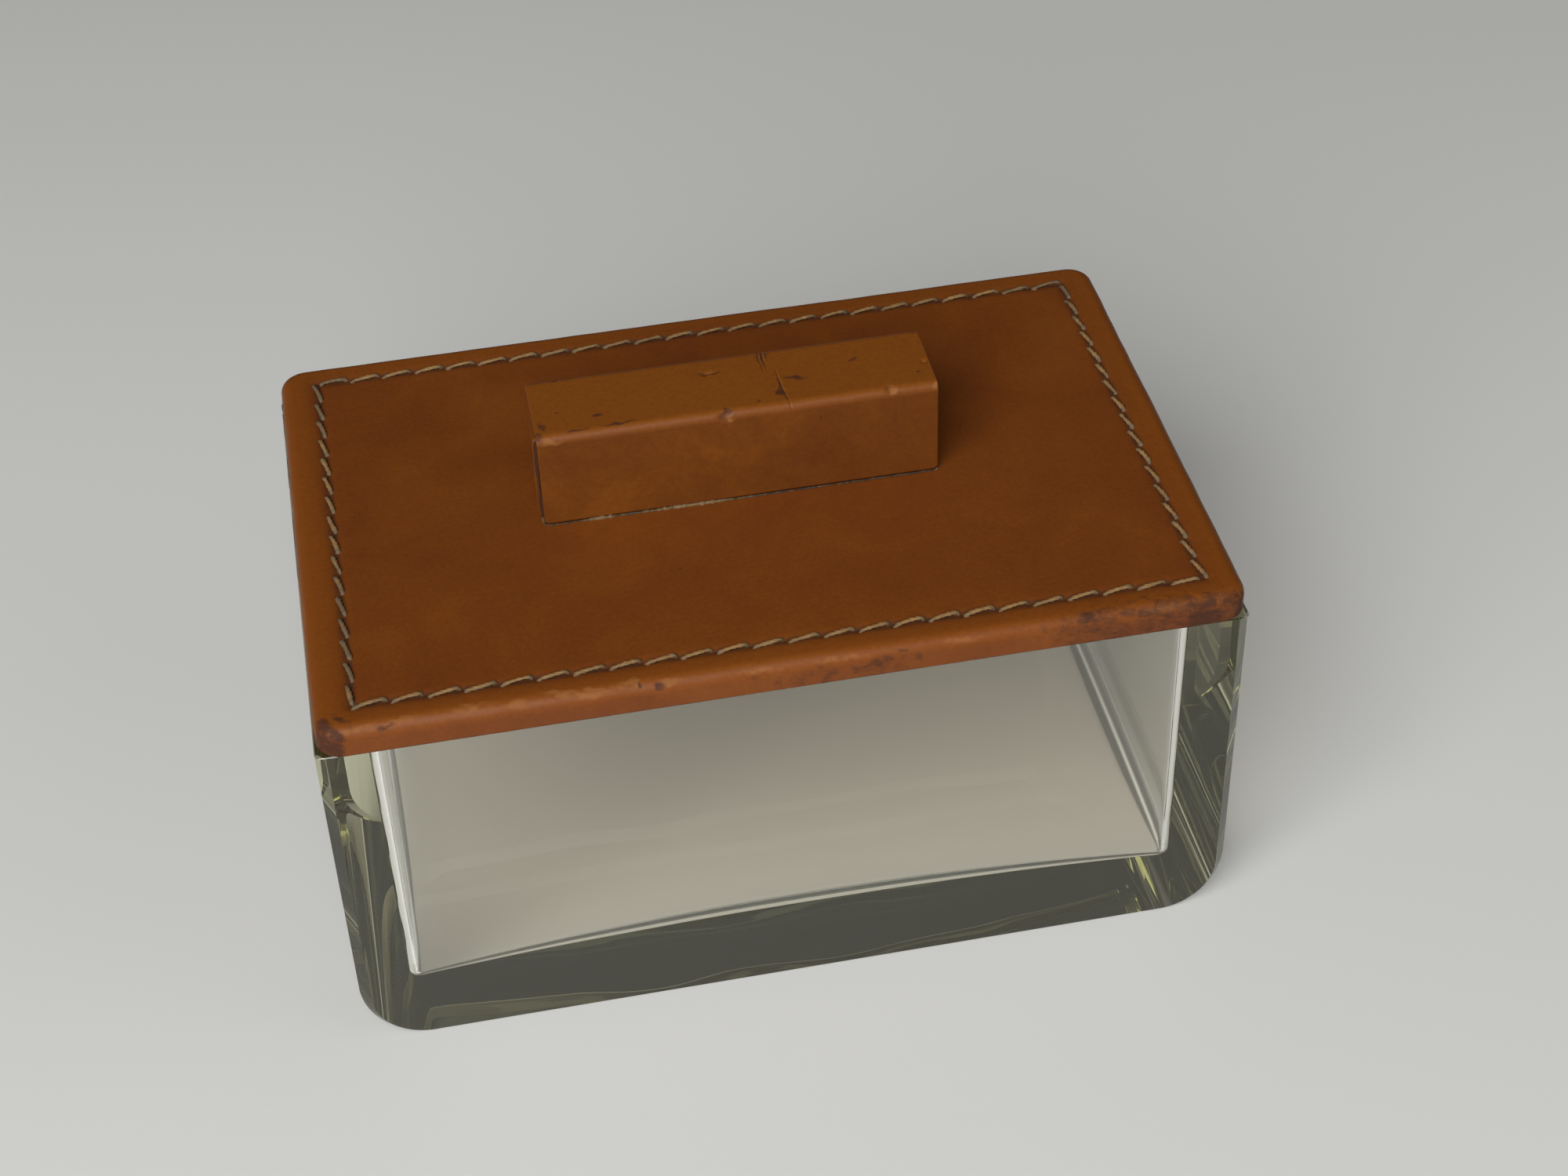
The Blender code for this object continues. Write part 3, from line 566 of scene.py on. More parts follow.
# The look that the lid's leather and the handle's share, each in its own browns
CLOUD_SIZE, PORE_SIZE, GRAIN_HEIGHT = 20 * MM, 0.9 * MM, 0.12 * MM
STREAK_SIZE, STREAK_STRETCH = 1.3 * MM, (0.6, 1, 1)
WAX_SPECULAR, WAXED_ROUGHNESS, MARKED_ROUGHNESS = 0.18, 0.44, 0.7
RUBBED_AND_HIGHLIGHT_COLOUR, RUBBED_AND_HIGHLIGHT_SHARE = "84552a", 0.7
STAINED_AND_SHADE_COLOUR, STAINED_AND_SHADE_SHARE = "391f12", 0.9


def waxed_leather(name, deep, usual, bright):
    """Vegetable-tanned leather: waxed and satiny, clouded, pale where rubbed, dark where stained.

    Its paler and darker shares also carry the painted highlights and shade that a piece gives it.
    """
    leather, tree, shader = new_material(name, roughness=0.5)
    shader.inputs["Specular IOR Level"].default_value = WAX_SPECULAR
    place = add_node(tree, "ShaderNodeTexCoord").outputs["Object"]
    pale_tone_and_highlight, scuff_and_highlight, dark_share = painted_marks(tree)
    clouds = add_node(tree, "ShaderNodeTexNoise", {
        "Vector": place, "Scale": 1 / CLOUD_SIZE, "Detail": 5, "Roughness": 0.62, "Distortion": 0.5,
    }).outputs["Fac"]
    tone = add_node(tree, "ShaderNodeValToRGB", {"Fac": clouds}, ramp=(
        (0.26, linear(deep)), (0.52, linear(usual)), (0.78, linear(bright)),
    )).outputs["Color"]
    # Brighter towards the bright brown by the first share: a paler margin on the lid, a painted highlight on
    # the handle's top
    tone = add_node(tree, "ShaderNodeMix", {0: pale_tone_and_highlight, 6: tone, 7: linear(bright)}, data_type="RGBA").outputs[2]
    pores = add_node(tree, "ShaderNodeTexNoise", {
        "Vector": place, "Scale": 1 / PORE_SIZE, "Detail": 3, "Roughness": 0.65,
    }).outputs["Fac"]
    depth = add_node(tree, "ShaderNodeMapRange", {
        "Value": pores, 1: 0.3, 2: 0.7, 3: 0.9, 4: 1.06,
    }).outputs[0]
    tone = add_node(tree, "ShaderNodeVectorMath", {0: tone, "Scale": depth}, operation="SCALE").outputs[0]

    # Rubbed and stained patches, and the painted highlights and shade that share their masks, break up along
    # the grain
    streaks = add_node(
        tree, "ShaderNodeMapping", {"Vector": place, "Scale": STREAK_STRETCH}
    ).outputs["Vector"]
    breaking = add_node(tree, "ShaderNodeTexNoise", {
        "Vector": streaks, "Scale": 1 / STREAK_SIZE, "Detail": 7, "Roughness": 0.72, "Distortion": 0.6,
    }).outputs["Fac"]
    uneven = add_node(tree, "ShaderNodeMapRange", {
        "Value": breaking, 1: 0.3, 2: 0.7, 3: 0, 4: 0.55,
    }).outputs[0]
    masks = []
    for painted, colour, most in (
        (scuff_and_highlight, RUBBED_AND_HIGHLIGHT_COLOUR, RUBBED_AND_HIGHLIGHT_SHARE), (dark_share, STAINED_AND_SHADE_COLOUR, STAINED_AND_SHADE_SHARE),
    ):
        covered = add_node(tree, "ShaderNodeMath", {0: painted, 1: uneven}).outputs[0]
        mask = add_node(
            tree, "ShaderNodeMapRange", {"Value": covered, 1: 0.6, 2: 1.25}, interpolation_type="SMOOTHSTEP"
        ).outputs[0]
        share = add_node(tree, "ShaderNodeMath", {0: mask, 1: most}, operation="MULTIPLY").outputs[0]
        mixed = {0: share, 6: tone, 7: linear(colour)}
        tone = add_node(tree, "ShaderNodeMix", mixed, data_type="RGBA").outputs[2]
        masks.append(mask)
    rubbed_and_highlight, stained_and_shaded = masks
    marked = add_node(tree, "ShaderNodeMath", {0: rubbed_and_highlight, 1: stained_and_shaded}, operation="MAXIMUM").outputs[0]
    dull = add_node(tree, "ShaderNodeMapRange", {
        "Value": marked, 3: WAXED_ROUGHNESS, 4: MARKED_ROUGHNESS,
    }).outputs[0]
    flakes = add_node(tree, "ShaderNodeMath", {0: breaking, 1: 0.35}, operation="MULTIPLY").outputs[0]
    height = add_node(tree, "ShaderNodeMath", {0: pores, 1: flakes}).outputs[0]
    grain = add_node(tree, "ShaderNodeBump", {"Strength": 0.35, "Distance": GRAIN_HEIGHT, "Height": height})
    tree.links.new(tone, shader.inputs["Base Color"])
    tree.links.new(dull, shader.inputs["Roughness"])
    tree.links.new(grain.outputs["Normal"], shader.inputs["Normal"])
    return leather


# The margin outside the stitching is brighter, a band along the thread is painted paler and darker, and the
# sides carry no scuffs
TOP_EDGE_FADE, MARGIN_FADE, THREAD_BAND_REACH = 1.6 * MM, 4 * MM, 1.2 * MM
leather_mesh = lid_leather()
spots = vertex_places(leather_mesh)
at_top_edge = np.clip((spots[:, 2] - lid_high.z) / TOP_EDGE_FADE + 1.6, 0, 1)
outside_rows = np.clip(past_stitching(spots) / MARGIN_FADE, 0, 1) * at_top_edge
thread_band = np.exp(-((past_stitching(spots) / THREAD_BAND_REACH) ** 2))
on_top = np.maximum.reduce((0.85 * thread_band, 0.95 * dabs(spots, EDGE_NICKS), 0.6 * dabs(spots, SURFACE_SPOTS)))
at_edge = np.maximum(0.95 * dabs(spots, CORNER_STAINS), 0.68 * dabs(spots, DARK_FRONT))
scuffs = np.maximum(0.75 * dabs(spots, EDGE_SCUFFS), 0.6 * thread_band) * at_top_edge
paint_marks(leather_mesh, outside_rows, scuffs, np.maximum(on_top * at_top_edge, at_edge))
lid_hide = waxed_leather("waxed_bridle_leather", "602f10", "67350f", "6f3b10")
new_piece(leather_mesh, "lid_leather", lid_hide, "lid", "lid_cover")


# The saddle stitching. One waxed linen thread, laid up from three plies, goes twice round the lid: the first
# time over every other slit, the second time over the rest, so that the stitches join up on both faces.
THREAD_RADIUS = 0.42 * MM
THREAD_RISE = 0.3 * THREAD_RADIUS
THREAD_FLATNESS = 0.62
THREAD_UNEVENNESS, UNEVEN_LENGTH = 0.35, 1.6 * MM
PLIES, PLY_RELIEF, PLY_TWIST = 3, 0.18, 3.6 * MM
LEG_SPACING = 1.6 * MM
BEND_REACH = 0.75 * MM
STITCH_WANDER = 0.14 * MM
BOARD_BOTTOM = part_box("lid_board")[0].z
TOP_RUN_STEPS, THREAD_SIDES = 26, 12
chance = np.random.default_rng(4)


def thread_path():
    """The middle of the thread, over the leather and under the board by turns, twice round."""
    holes = stitch_holes()
    over = lid_high.z + THREAD_RISE
    inside = lid_high.z - LEATHER_THICKNESS / 2
    under = BOARD_BOTTOM + THREAD_RADIUS
    points = []
    for run in range(2 * len(holes)):
        on_top = run % 2 == 0
        (first, first_slant), (second, second_slant) = holes[run % len(holes)], holes[(run + 1) % len(holes)]
        side = LEG_SPACING / 2 if on_top else -LEG_SPACING / 2
        start, end = first + first_slant * side, second - second_slant * side
        if not on_top:
            points += [(*start.lerp(end, share), under) for share in np.linspace(0, 1, 5)]
            points += [(*end, under + (inside - under) * share) for share in (0.35, 0.7)]
            continue
        length = (end - start).length
        across = (end - start).orthogonal().normalized()
        wander, lift = chance.uniform(-1, 1, 2)
        for turn in np.linspace(0, math.pi, TOP_RUN_STEPS):
            along = (1 - math.cos(turn)) / 2
            rise = min(along, 1 - along) * length / BEND_REACH
            rise = math.sqrt(1 - (1 - min(rise, 1)) ** 2)
            bow = math.sin(math.pi * along)
            spot = start.lerp(end, along) + across * STITCH_WANDER * wander * bow
            points.append((*spot, inside + (over - inside + STITCH_WANDER * (1 + lift) * bow) * rise))
        points += [(*end, inside + (under - inside) * share) for share in (0.3, 0.65)]
    return np.array(points)


def three_ply_thread(path):
    """A closed tube round a closed path, with three ridges that wind round it."""
    ahead = np.roll(path, -1, 0) - np.roll(path, 1, 0)
    ahead /= np.linalg.norm(ahead, axis=1)[:, None]
    travelled = np.cumsum(np.linalg.norm(path - np.roll(path, 1, 0), axis=1))
    side, frames = np.array((1.0, 0, 0)), []
    for direction in ahead:
        side = side - direction * (side @ direction)
        side /= np.linalg.norm(side)
        frames.append(side)
    side = np.array(frames)
    upward = np.cross(ahead, side)
    radius = THREAD_RADIUS * (1 + THREAD_UNEVENNESS * soft_noise(path, UNEVEN_LENGTH, seed=61))
    twist = 2 * math.pi * travelled / PLY_TWIST
    rings = []
    for angle in np.linspace(0, 2 * math.pi, THREAD_SIDES, endpoint=False):
        away = side * math.cos(angle) + upward * math.sin(angle)
        rings.append(path + away * (radius * (1 + PLY_RELIEF * np.cos(PLIES * (angle - twist))))[:, None])
    return np.stack(rings, 1)


def closed_tube(rings, name):
    """A mesh over rings of points, the last of which meets the first."""
    index = np.arange(rings.shape[0] * rings.shape[1]).reshape(rings.shape[:2])
    after = np.roll(index, -1, 1)
    quads = np.stack((index, after, np.roll(after, -1, 0), np.roll(index, -1, 0)), 2)
    return mesh_of(rings, quads.reshape(-1, 4), name)


# The thread lies flattened on the leather. It is painted darker near the slits and where it lies low,
# where it sinks in, and dirtier in three places
SLIT_DARKENING_REACH, SUNK_BELOW, SUNK_FADE = 1.2 * MM, 0.45 * MM, 0.5 * MM
DIRTY_PLACES = ((78, 48, 14, 14, 0), (-78, 46, 10, 14, 0), (-78, -30, 8, 22, 0))
thread = three_ply_thread(thread_path())
above = thread[:, :, 2] - lid_high.z
thread[:, :, 2] = lid_high.z + np.where(above > 0, above * THREAD_FLATNESS, above)
thread_mesh = closed_tube(thread, "saddle_thread")
spots = vertex_places(thread_mesh)
sunk = np.clip((lid_high.z + SUNK_BELOW - spots[:, 2]) / SUNK_FADE, 0, 1)
soiling = 0.35 + 0.5 * dabs(spots, DIRTY_PLACES)
paint_marks(thread_mesh, np.maximum(near_holes(spots, SLIT_DARKENING_REACH), sunk), soiling, sunk)

# Waxed linen: straw-tan and dull, painted olive-grey where it lies low and near the slits, and where soiled
LINEN_FLUFF_SIZE, LINEN_FLUFF_HEIGHT = 1.1 * MM, 0.15 * MM
linen, tree, shader = new_material("waxed_linen_thread", roughness=0.75)
at_slit, soiled, _ = painted_marks(tree)
place = add_node(tree, "ShaderNodeTexCoord").outputs["Object"]
fluff = add_node(tree, "ShaderNodeTexNoise", {
    "Vector": place, "Scale": 1 / LINEN_FLUFF_SIZE, "Detail": 6, "Roughness": 0.8,
}).outputs["Fac"]
clean = add_node(tree, "ShaderNodeValToRGB", {"Fac": fluff}, ramp=(
    (0.35, linear("70512a")), (0.52, linear("8f6b3a")), (0.68, linear("b08a54")),
)).outputs["Color"]
darker = add_node(tree, "ShaderNodeMath", {0: at_slit, 1: soiled}).outputs[0]
darker = add_node(tree, "ShaderNodeMath", {0: darker, 1: fluff}).outputs[0]
darker = add_node(tree, "ShaderNodeMapRange", {"Value": darker, 1: 0.8, 2: 1.6, 3: 0, 4: 0.95}).outputs[0]
tone = add_node(tree, "ShaderNodeMix", {0: darker, 6: clean, 7: linear("574732")}, data_type="RGBA").outputs[2]
hairs = add_node(tree, "ShaderNodeBump", {"Strength": 0.9, "Distance": LINEN_FLUFF_HEIGHT, "Height": fluff})
tree.links.new(tone, shader.inputs["Base Color"])
tree.links.new(hairs.outputs["Normal"], shader.inputs["Normal"])
new_piece(thread_mesh, "saddle_thread", linen, "lid", "saddle_stitch")


# The handle. A leather strip is folded over the front, top and back of a beech block, two leather ends are
# set inside its edges, and all of it is glued down. It carries knife cuts, nicks and a rubbed front fold,
# with a painted highlight along the fold.
wrap_low, wrap_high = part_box("handle_wrap")
end_low, end_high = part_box("handle_end_left")
FOLD_RADIUS = 1.7 * MM
CUT_EDGE_ROUND = 0.2 * MM
WRAP_BELLY, WRAP_BELLY_SIZE = 0.12 * MM, 16 * MM
SLIT_BEHIND_WRAP = 0.75 * MM
LOOSE_END_LEAN = 2.1 * MM
LOWER_CORNER_CUT = 1.1 * MM
CUT_SINK, NICK_SINK = 0.4 * MM, 0.35 * MM
STRIP_STEPS, EDGE_STEPS, LENGTH_STEPS, CUT_ZONE_STEPS = 160, 4, 240, 60
END_EDGE_ROUND, END_CORNER_RADIUS = 0.3 * MM, 0.8 * MM
END_OUTLINE_STEPS = (40, 44, 6)
END_DENT_HEIGHT, END_DENT_SIZE = 0.1 * MM, 6 * MM
END_INSET = 1.0 * MM
# Marks on the strip as if it were unrolled: along the handle, then backwards from the front fold
CUT_ZONE = (6 * MM, 11 * MM)
KNIFE_CUTS = ((6.7, 16.0, 0.2, 3.6, 0), (7.5, 15.2, 0.18, 2.6, 0), (9.4, 5.2, 0.2, 4.8, 4))
NICKS = (
    (-2.6, -0.3, 1.2, 1.0, 0), (29, 0.3, 0.8, 0.7, 0), (-3.4, 13.1, 1.6, 0.35, 4), (37.0, 7.6, 0.5, 0.4, 0),
)
FOLD_RUBS = (
    (-35.4, -0.9, 3.0, 0.9, 2), (-1.7, -1.4, 0.9, 0.9, 0), (29.4, 0.0, 1.0, 0.8, 0),
    (37.6, -0.2, 0.7, 1.0, 0), (-3.4, 13.1, 1.3, 0.4, 4), (37.0, 7.6, 0.5, 0.4, 0),
)
# Painted highlights along the front fold, laid on in the rubbed colour
FOLD_HIGHLIGHTS = ((-8, -0.3, 10, 0.9, 0), (14, -0.2, 12, 0.9, 0), (33, -0.3, 5, 0.7, 0))
HANDLE_STAINS = (
    (-25.9, 4.7, 1.3, 0.6, 10), (-36.4, 3.4, 1.0, 1.6, 10), (-22.2, 1.2, 4.2, 0.55, 2),
    (-30, 0.9, 3.6, 0.35, 2), (-2.6, 0.0, 1.9, 1.4, 0), (7.3, 16.4, 1.9, 1.1, 0),
    (9.0, 3.6, 1.3, 2.0, 10), (11.6, 8.0, 2.8, 0.9, -12), (35.1, 4.4, 0.5, 0.4, 0),
    (37.2, 17.4, 0.8, 0.7, 0), (4, 1.9, 0.6, 0.5, 0), (-30, 18.0, 8, 0.8, 4), (-3.4, 13.1, 2.7, 1.1, 4),
    (29, 0.5, 0.9, 0.8, 0), (7.1, 15.6, 0.9, 3.4, 0), (9.2, 5.0, 0.6, 4.6, 4), (15.3, -3.6, 0.4, 0.4, 0),
    (-37.8, 0.6, 1.2, 0.9, 0), (-33, 7.0, 0.6, 0.4, 0), (24, 11, 1.2, 0.5, 20),
)


def folded_strip(half_depth, height, radius, steps):
    """The strip's line from foot to foot, the ways it faces, and how far it is past the front fold."""
    straight = height - radius
    across = 2 * (half_depth - radius)
    around = math.pi * radius / 2
    lengths = np.cumsum((0, straight, around, across, around, straight))
    points, facing = [], []
    runs = np.linspace(0, lengths[-1], steps)
    for run in runs:
        if run <= lengths[1]:
            points.append((-half_depth, run))
            facing.append((-1, 0))
        elif run >= lengths[4]:
            points.append((half_depth, lengths[-1] - run))
            facing.append((1, 0))
        elif lengths[2] <= run <= lengths[3]:
            points.append((radius - half_depth + run - lengths[2], height))
            facing.append((0, 1))
        else:
            front = run < lengths[2]
            angle = (run - lengths[1]) / radius if front else math.pi / 2 + (run - lengths[3]) / radius
            centre = radius - half_depth if front else half_depth - radius
            facing.append((-math.cos(angle), math.sin(angle)))
            points.append((centre - radius * math.cos(angle), straight + radius * math.sin(angle)))
    return np.array(points), np.array(facing), runs - (lengths[1] + lengths[2]) / 2


def wrap_leather():
    """The folded strip as a closed shell with rounded cut edges, and where its points are when unrolled."""
    half_length = wrap_high.x
    middle, foot = (wrap_low.y + wrap_high.y) / 2, wrap_low.z
    half_depth, height = (wrap_high.y - wrap_low.y) / 2, wrap_high.z - wrap_low.z
    outer, facing, past_fold = folded_strip(half_depth, height, FOLD_RADIUS, STRIP_STEPS)
    skin = LEATHER_THICKNESS
    inner = folded_strip(half_depth - skin, height - skin, FOLD_RADIUS - skin, STRIP_STEPS)[0]
    rounded_edge = np.linspace(half_length - CUT_EDGE_ROUND, half_length, EDGE_STEPS)
    between = np.linspace(-half_length, half_length, LENGTH_STEPS)[1:-1]
    places = np.concatenate((-rounded_edge, between, np.linspace(*CUT_ZONE, CUT_ZONE_STEPS), rounded_edge))
    levels, unrolled = [], []
    for x in np.unique(places):
        edge = max(abs(x) - half_length + CUT_EDGE_ROUND, 0)
        tuck = CUT_EDGE_ROUND - math.sqrt(max(CUT_EDGE_ROUND**2 - edge**2, 0))
        points = np.column_stack((np.full(len(outer), x), outer[:, 0] + middle, outer[:, 1] + foot))
        face = np.column_stack((np.zeros(len(outer)), facing))
        flat = np.column_stack((np.full(len(outer), x), past_fold, np.zeros(len(outer))))
        relief = WRAP_BELLY * (soft_noise(points, WRAP_BELLY_SIZE, seed=21) - 1) / 2
        relief -= CUT_SINK * dabs(flat, KNIFE_CUTS) + NICK_SINK * dabs(flat, NICKS)
        points += face * (relief - tuck)[:, None]
        back = np.column_stack((np.full(len(inner), x), inner[:, 0] + middle, inner[:, 1] + foot))
        back[:, 1:] += facing * tuck
        ring = np.concatenate((points, back[::-1]))
        corner = max(abs(x) - half_length + LOWER_CORNER_CUT, 0)
        lift = LOWER_CORNER_CUT - math.sqrt(LOWER_CORNER_CUT**2 - corner**2)
        ring[:, 2] += lift * np.clip(1 - (ring[:, 2] - foot) / (height - FOLD_RADIUS), 0, 1)
        levels.append(ring)
        unrolled.append(np.concatenate((flat, flat[::-1])))
    return strip_mesh(levels, "handle_wrap_leather"), np.concatenate(unrolled)


def strip_mesh(levels, name):
    """A closed mesh over rings that are a strip's outer line followed by its inner line backwards."""
    index = np.arange(len(levels) * len(levels[0])).reshape(len(levels), -1)
    after = np.roll(index, -1, 1)
    faces = [*np.stack((index[:-1], after[:-1], after[1:], index[1:]), 2).reshape(-1, 4)]
    for row in (index[0], index[-1]):
        far = row[::-1]
        faces += [(row[i], row[i + 1], far[i + 1], far[i]) for i in range(len(row) // 2 - 1)]
    return mesh_of(levels, faces, name)


def end_leather(side):
    """A flat leather end, a little smaller than the strip's inside. The left one's front edge is loose."""
    half_y = (end_high.y - end_low.y) / 2 - SLIT_BEHIND_WRAP / 2
    half_x = (end_high.x - end_low.x) / 2
    tall = end_high.z - end_low.z
    levels = []
    for depth, shrink in ((-1, END_EDGE_ROUND), (-0.75, 0), (0, 0), (0.75, 0), (1, END_EDGE_ROUND)):
        plan, _ = rounded_outline(half_y - shrink, tall / 2 - shrink, END_CORNER_RADIUS, *END_OUTLINE_STEPS)
        levels.append(np.column_stack((np.full(len(plan), depth * half_x), plan)))
    points = np.concatenate(levels)
    points[:, 0] += END_DENT_HEIGHT * soft_noise(points, END_DENT_SIZE, seed=31 + side)
    middle = ((end_low.y + end_high.y) / 2 + SLIT_BEHIND_WRAP / 4, (end_low.z + end_high.z) / 2)
    if side < 0:
        towards_front = np.clip((0.2 - points[:, 1] / half_y) / 1.2, 0, 1) ** 2
        points[:, 0] -= LOOSE_END_LEAN * towards_front * (0.8 + 0.2 * np.cos(math.pi * points[:, 2] / tall))
    points += (side * (wrap_high.x - END_INSET - half_x), *middle)
    return skin_over(np.split(points, len(levels)), "handle_end_leather")


# The strip's top is painted brighter as a highlight, its foot is painted dark as shade, and its cut edges
# are a little darker
TOP_HIGHLIGHT_FADE, FOOT_SHADE_REACH = 2 * MM, 0.9 * MM
DYED_EDGE_START, DYED_EDGE_FADE = 0.5 * MM, 0.4 * MM
END_SOFT_ANGLE = math.radians(40)
handle_hide = waxed_leather("waxed_shoulder_leather", "562a0e", "60330d", "713e10")
wrap_mesh, flat = wrap_leather()
spots = vertex_places(wrap_mesh)
on_top = np.clip((spots[:, 2] - wrap_high.z) / TOP_HIGHLIGHT_FADE + 1, 0, 1)
foot_shade = 0.5 * np.exp(-((spots[:, 2] - wrap_low.z) / FOOT_SHADE_REACH) ** 2)
cut_edge = np.clip((np.abs(spots[:, 0]) - wrap_high.x + DYED_EDGE_START) / DYED_EDGE_FADE, 0, 1)
rubs, fold_highlights, cuts = (dabs(flat, marks) for marks in (FOLD_RUBS, FOLD_HIGHLIGHTS, KNIFE_CUTS))
rubbed_and_highlight = np.maximum.reduce((0.85 * rubs, 0.25 * fold_highlights, 1.2 * cuts))
stained_and_shaded = np.maximum.reduce((0.9 * dabs(flat, HANDLE_STAINS), foot_shade, 0.3 * cut_edge))
paint_marks(wrap_mesh, on_top, rubbed_and_highlight, stained_and_shaded * (1 - np.clip(rubbed_and_highlight, 0, 1)))
new_piece(wrap_mesh, "handle_wrap_leather", handle_hide, "lid", "handle_wrap")

# The ends are rubbed and grimy at their front and back rims, and dyed dark on their front cut edges
for side, name in ((-1, "left"), (1, "right")):
    mesh = end_leather(side)
    spots = vertex_places(mesh)
    depth = (spots[:, 1] - (end_low.y + end_high.y) / 2) / (end_high.y - end_low.y) * 2
    rim = np.clip(np.abs(depth), 0, 1) ** 6
    off_face = np.clip((spots[:, 0] - spots[:, 0].min()) / END_EDGE_ROUND - 1, 0, 1)
    edge_dye = np.clip((-0.9 - depth) / 0.02, 0, 1) * off_face
    dark_share = np.maximum(0.4 * rim, 1.3 * edge_dye)
    paint_marks(mesh, np.zeros(len(spots)), 0.8 * rim * (1 - edge_dye), dark_share)
    piece, node = f"handle_end_leather_{name}", f"handle_end_{name}"
    new_piece(mesh, piece, handle_hide, "lid", node, END_SOFT_ANGLE)

# Zinc-plated steel screws, seen only with the lid taken apart: cold grey, faintly clouded
ZINC_CLOUD_SIZE = 1.2 * MM
zinc, tree, shader = new_material("zinc_plated_steel", base_color=linear("a9abad"), metallic=1.0)
place = add_node(tree, "ShaderNodeTexCoord").outputs["Object"]
clouding = add_node(tree, "ShaderNodeTexNoise", {
    "Vector": place, "Scale": 1 / ZINC_CLOUD_SIZE, "Detail": 3,
}).outputs["Fac"]
dullness = add_node(tree, "ShaderNodeMapRange", {"Value": clouding, 3: 0.25, 4: 0.5}).outputs[0]
tree.links.new(dullness, shader.inputs["Roughness"])
dress(zinc, "handle_screw_left", "handle_screw_right")


# The glue line round the handle's foot. Hide glue squeezed out, caught dust and fibres, and crumbled, so it
# is thin and dark in places and a pale furry bead in others.
BEAD_RADIUS = 0.22 * MM
BEAD_RISE = 0.6 * BEAD_RADIUS
BEAD_CORNER = 1.0 * MM
FUZZY_PLACES = ((-11, -7, 10, 3, 0), (-39.5, -2, 3, 5, 0), (40, -6.4, 2, 2, 0), (-27, -7, 3, 2, 0))
BEAD_OUTLINE_STEPS, BEAD_SIDES = (380, 90, 8), 10
FUZZ_SIZE, LUMP_SIZE, CRUMB_SIZE = 0.7 * MM, 1.6 * MM, 0.5 * MM
half_x, half_y = wrap_high.x + BEAD_RADIUS / 2, (wrap_high.y - wrap_low.y) / 2 + BEAD_RADIUS / 2
plan, outward = rounded_outline(half_x, half_y, BEAD_CORNER, *BEAD_OUTLINE_STEPS)
plan[:, 1] += (wrap_low.y + wrap_high.y) / 2
path = np.column_stack((plan, np.full(len(plan), lid_high.z + BEAD_RISE)))
fuzz = dabs(path, FUZZY_PLACES) * (1 + soft_noise(path, FUZZ_SIZE, seed=43))
thickness = 0.7 + 0.5 * soft_noise(path, LUMP_SIZE, seed=41) + 0.9 * fuzz
rings = []
for angle in np.linspace(0, 2 * math.pi, BEAD_SIDES, endpoint=False):
    away = np.column_stack((outward * math.cos(angle), np.full(len(plan), math.sin(angle))))
    crumbs = 1 + 0.35 * soft_noise(path + away * BEAD_RADIUS, CRUMB_SIZE, seed=47)
    rings.append(path + away * (BEAD_RADIUS * thickness * crumbs)[:, None])
bead_mesh = closed_tube(np.stack(rings, 1), "foot_glue")
spots = vertex_places(bead_mesh)
unpainted = np.zeros(len(spots))
paint_marks(bead_mesh, dabs(spots, FUZZY_PLACES), unpainted, unpainted)

# Old hide glue with leather fluff: matt, from dirty brown to a dusty straw colour
GLUE_CRUMB_SIZE = 0.9 * MM
old_glue, tree, shader = new_material("dusty_hide_glue", roughness=0.85)
fuzzy = painted_marks(tree)[0]
place = add_node(tree, "ShaderNodeTexCoord").outputs["Object"]
crumbs = add_node(tree, "ShaderNodeTexNoise", {
    "Vector": place, "Scale": 1 / GLUE_CRUMB_SIZE, "Detail": 4, "Roughness": 0.7,
}).outputs["Fac"]
fuzzy = add_node(tree, "ShaderNodeMath", {0: fuzzy, 1: 0.3}, operation="MULTIPLY").outputs[0]
paleness = add_node(tree, "ShaderNodeMath", {0: fuzzy, 1: crumbs}).outputs[0]
tone = add_node(tree, "ShaderNodeValToRGB", {"Fac": paleness}, ramp=(
    (0.42, linear("24180e")), (0.62, linear("46351f")), (0.9, linear("6f5534")),
))
tree.links.new(tone.outputs["Color"], shader.inputs["Base Color"])
new_piece(bead_mesh, "handle_foot_glue", old_glue, "lid")


# Table and studio. A plain pale table top, a big soft lamp at the front left, a weak one at the right, and a
# dim room, which the long ways through the glass show as grey. It adds little light to matt surfaces.
TABLE_SIZE, TABLE_GAP = 6.0, 0.1 * MM
ROOM_LIGHT_ON_MATT = 0.4
WINDOW_PLACE, WINDOW_SIZE, WINDOW_POWER = (-0.78, -1.34, 1.22), 1.7, 66
FILL_PLACE, FILL_SIZE, FILL_POWER = (0.9, -0.5, 0.7), 1.0, 2.5
LAMP_TARGET = Vector((0, 0, 0.05))
table_top, tree, shader = new_material("pale_laminate", base_color=linear("cdcdca"), roughness=0.45)
bpy.ops.mesh.primitive_plane_add(size=TABLE_SIZE, location=(0, 0, -TABLE_GAP))
table = bpy.context.object
table.name = "table"
table.data.materials.append(table_top)

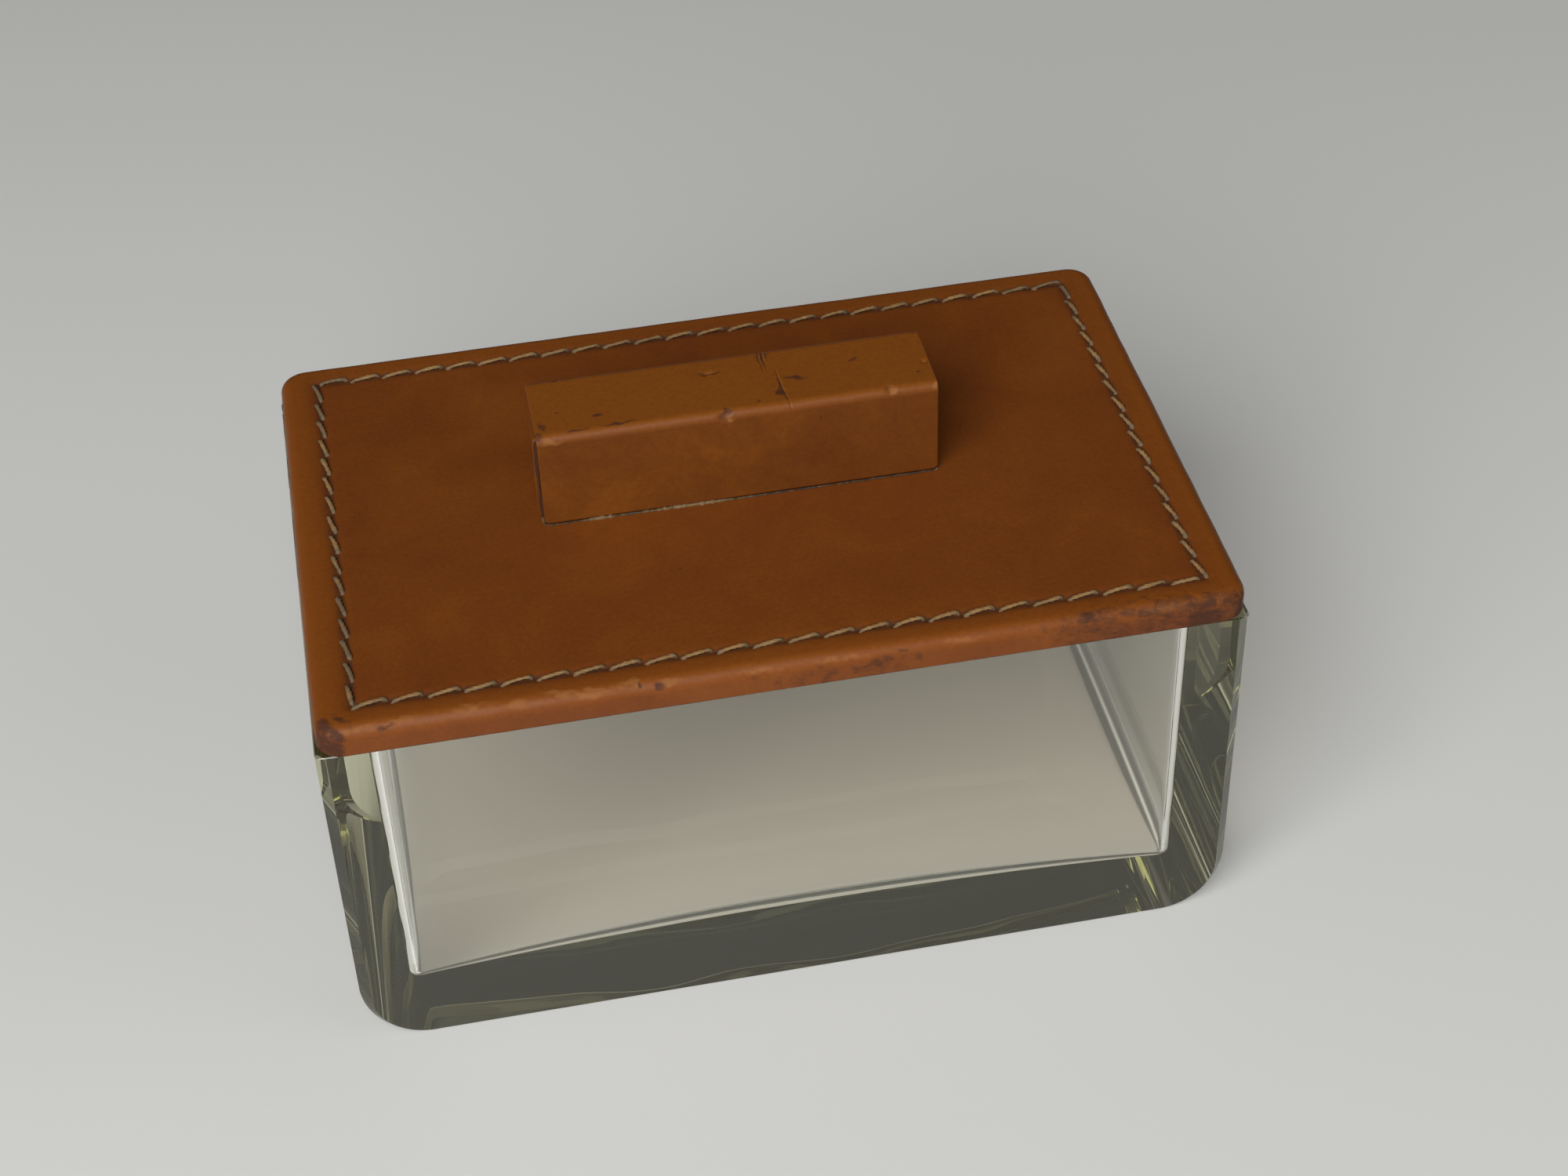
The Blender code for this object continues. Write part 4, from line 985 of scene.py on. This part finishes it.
world = bpy.data.worlds.new("dim_room")
world.use_nodes = True
room = world.node_tree.nodes["Background"]
room.inputs["Color"].default_value = linear("3a3a38")
matt_surface = add_node(world.node_tree, "ShaderNodeLightPath").outputs["Is Diffuse Ray"]
strength = add_node(world.node_tree, "ShaderNodeMapRange", {
    "Value": matt_surface, 3: 1, 4: ROOM_LIGHT_ON_MATT,
})
world.node_tree.links.new(strength.outputs[0], room.inputs["Strength"])
bpy.context.scene.world = world


def add_softbox(name, place, size, power):
    """A square lamp that faces the box and isn't seen by the camera itself."""
    data = bpy.data.lights.new(name, "AREA")
    data.size = size
    data.energy = power
    lamp = bpy.data.objects.new(name, data)
    bpy.context.scene.collection.objects.link(lamp)
    lamp.location = place
    lamp.rotation_euler = (LAMP_TARGET - Vector(place)).to_track_quat("-Z", "Y").to_euler()
    lamp.visible_camera = False
    lamp.visible_transmission = False


add_softbox("window_light", WINDOW_PLACE, WINDOW_SIZE, WINDOW_POWER)
add_softbox("fill_light", FILL_PLACE, FILL_SIZE, FILL_POWER)

# The photo's camera, solved from the edges of the lid and the glass
SENSOR_WIDTH, FOCAL_LENGTH = 36, 63.08
CAMERA_AZIMUTH = math.radians(-9.576)
CAMERA_ELEVATION = math.radians(40.307)
CAMERA_ROLL = math.radians(-2.229)
CAMERA_DISTANCE = 532.1 * MM
CAMERA_SIDE_STEP = 8.8 * MM
CAMERA_DROP = 16.7 * MM
back = Vector((
    math.sin(CAMERA_AZIMUTH) * math.cos(CAMERA_ELEVATION),
    -math.cos(CAMERA_AZIMUTH) * math.cos(CAMERA_ELEVATION),
    math.sin(CAMERA_ELEVATION),
))
level = Vector((math.cos(CAMERA_AZIMUTH), math.sin(CAMERA_AZIMUTH), 0))
right = Matrix.Rotation(CAMERA_ROLL, 3, back) @ level
up = back.cross(right)
camera = bpy.data.objects.new("camera", bpy.data.cameras.new("camera"))
camera.data.sensor_width = SENSOR_WIDTH
camera.data.lens = FOCAL_LENGTH
camera.location = back * CAMERA_DISTANCE + right * CAMERA_SIDE_STEP - up * CAMERA_DROP
camera.location.z += GLASS_HEIGHT
camera.rotation_euler = Matrix((right, up, back)).transposed().to_euler()
bpy.context.scene.collection.objects.link(camera)
bpy.context.scene.camera = camera

bpy.context.scene.view_settings.view_transform = "Standard"
bpy.context.scene.cycles.max_bounces = 32
bpy.context.scene.cycles.glossy_bounces = 24
bpy.context.scene.cycles.transmission_bounces = 24
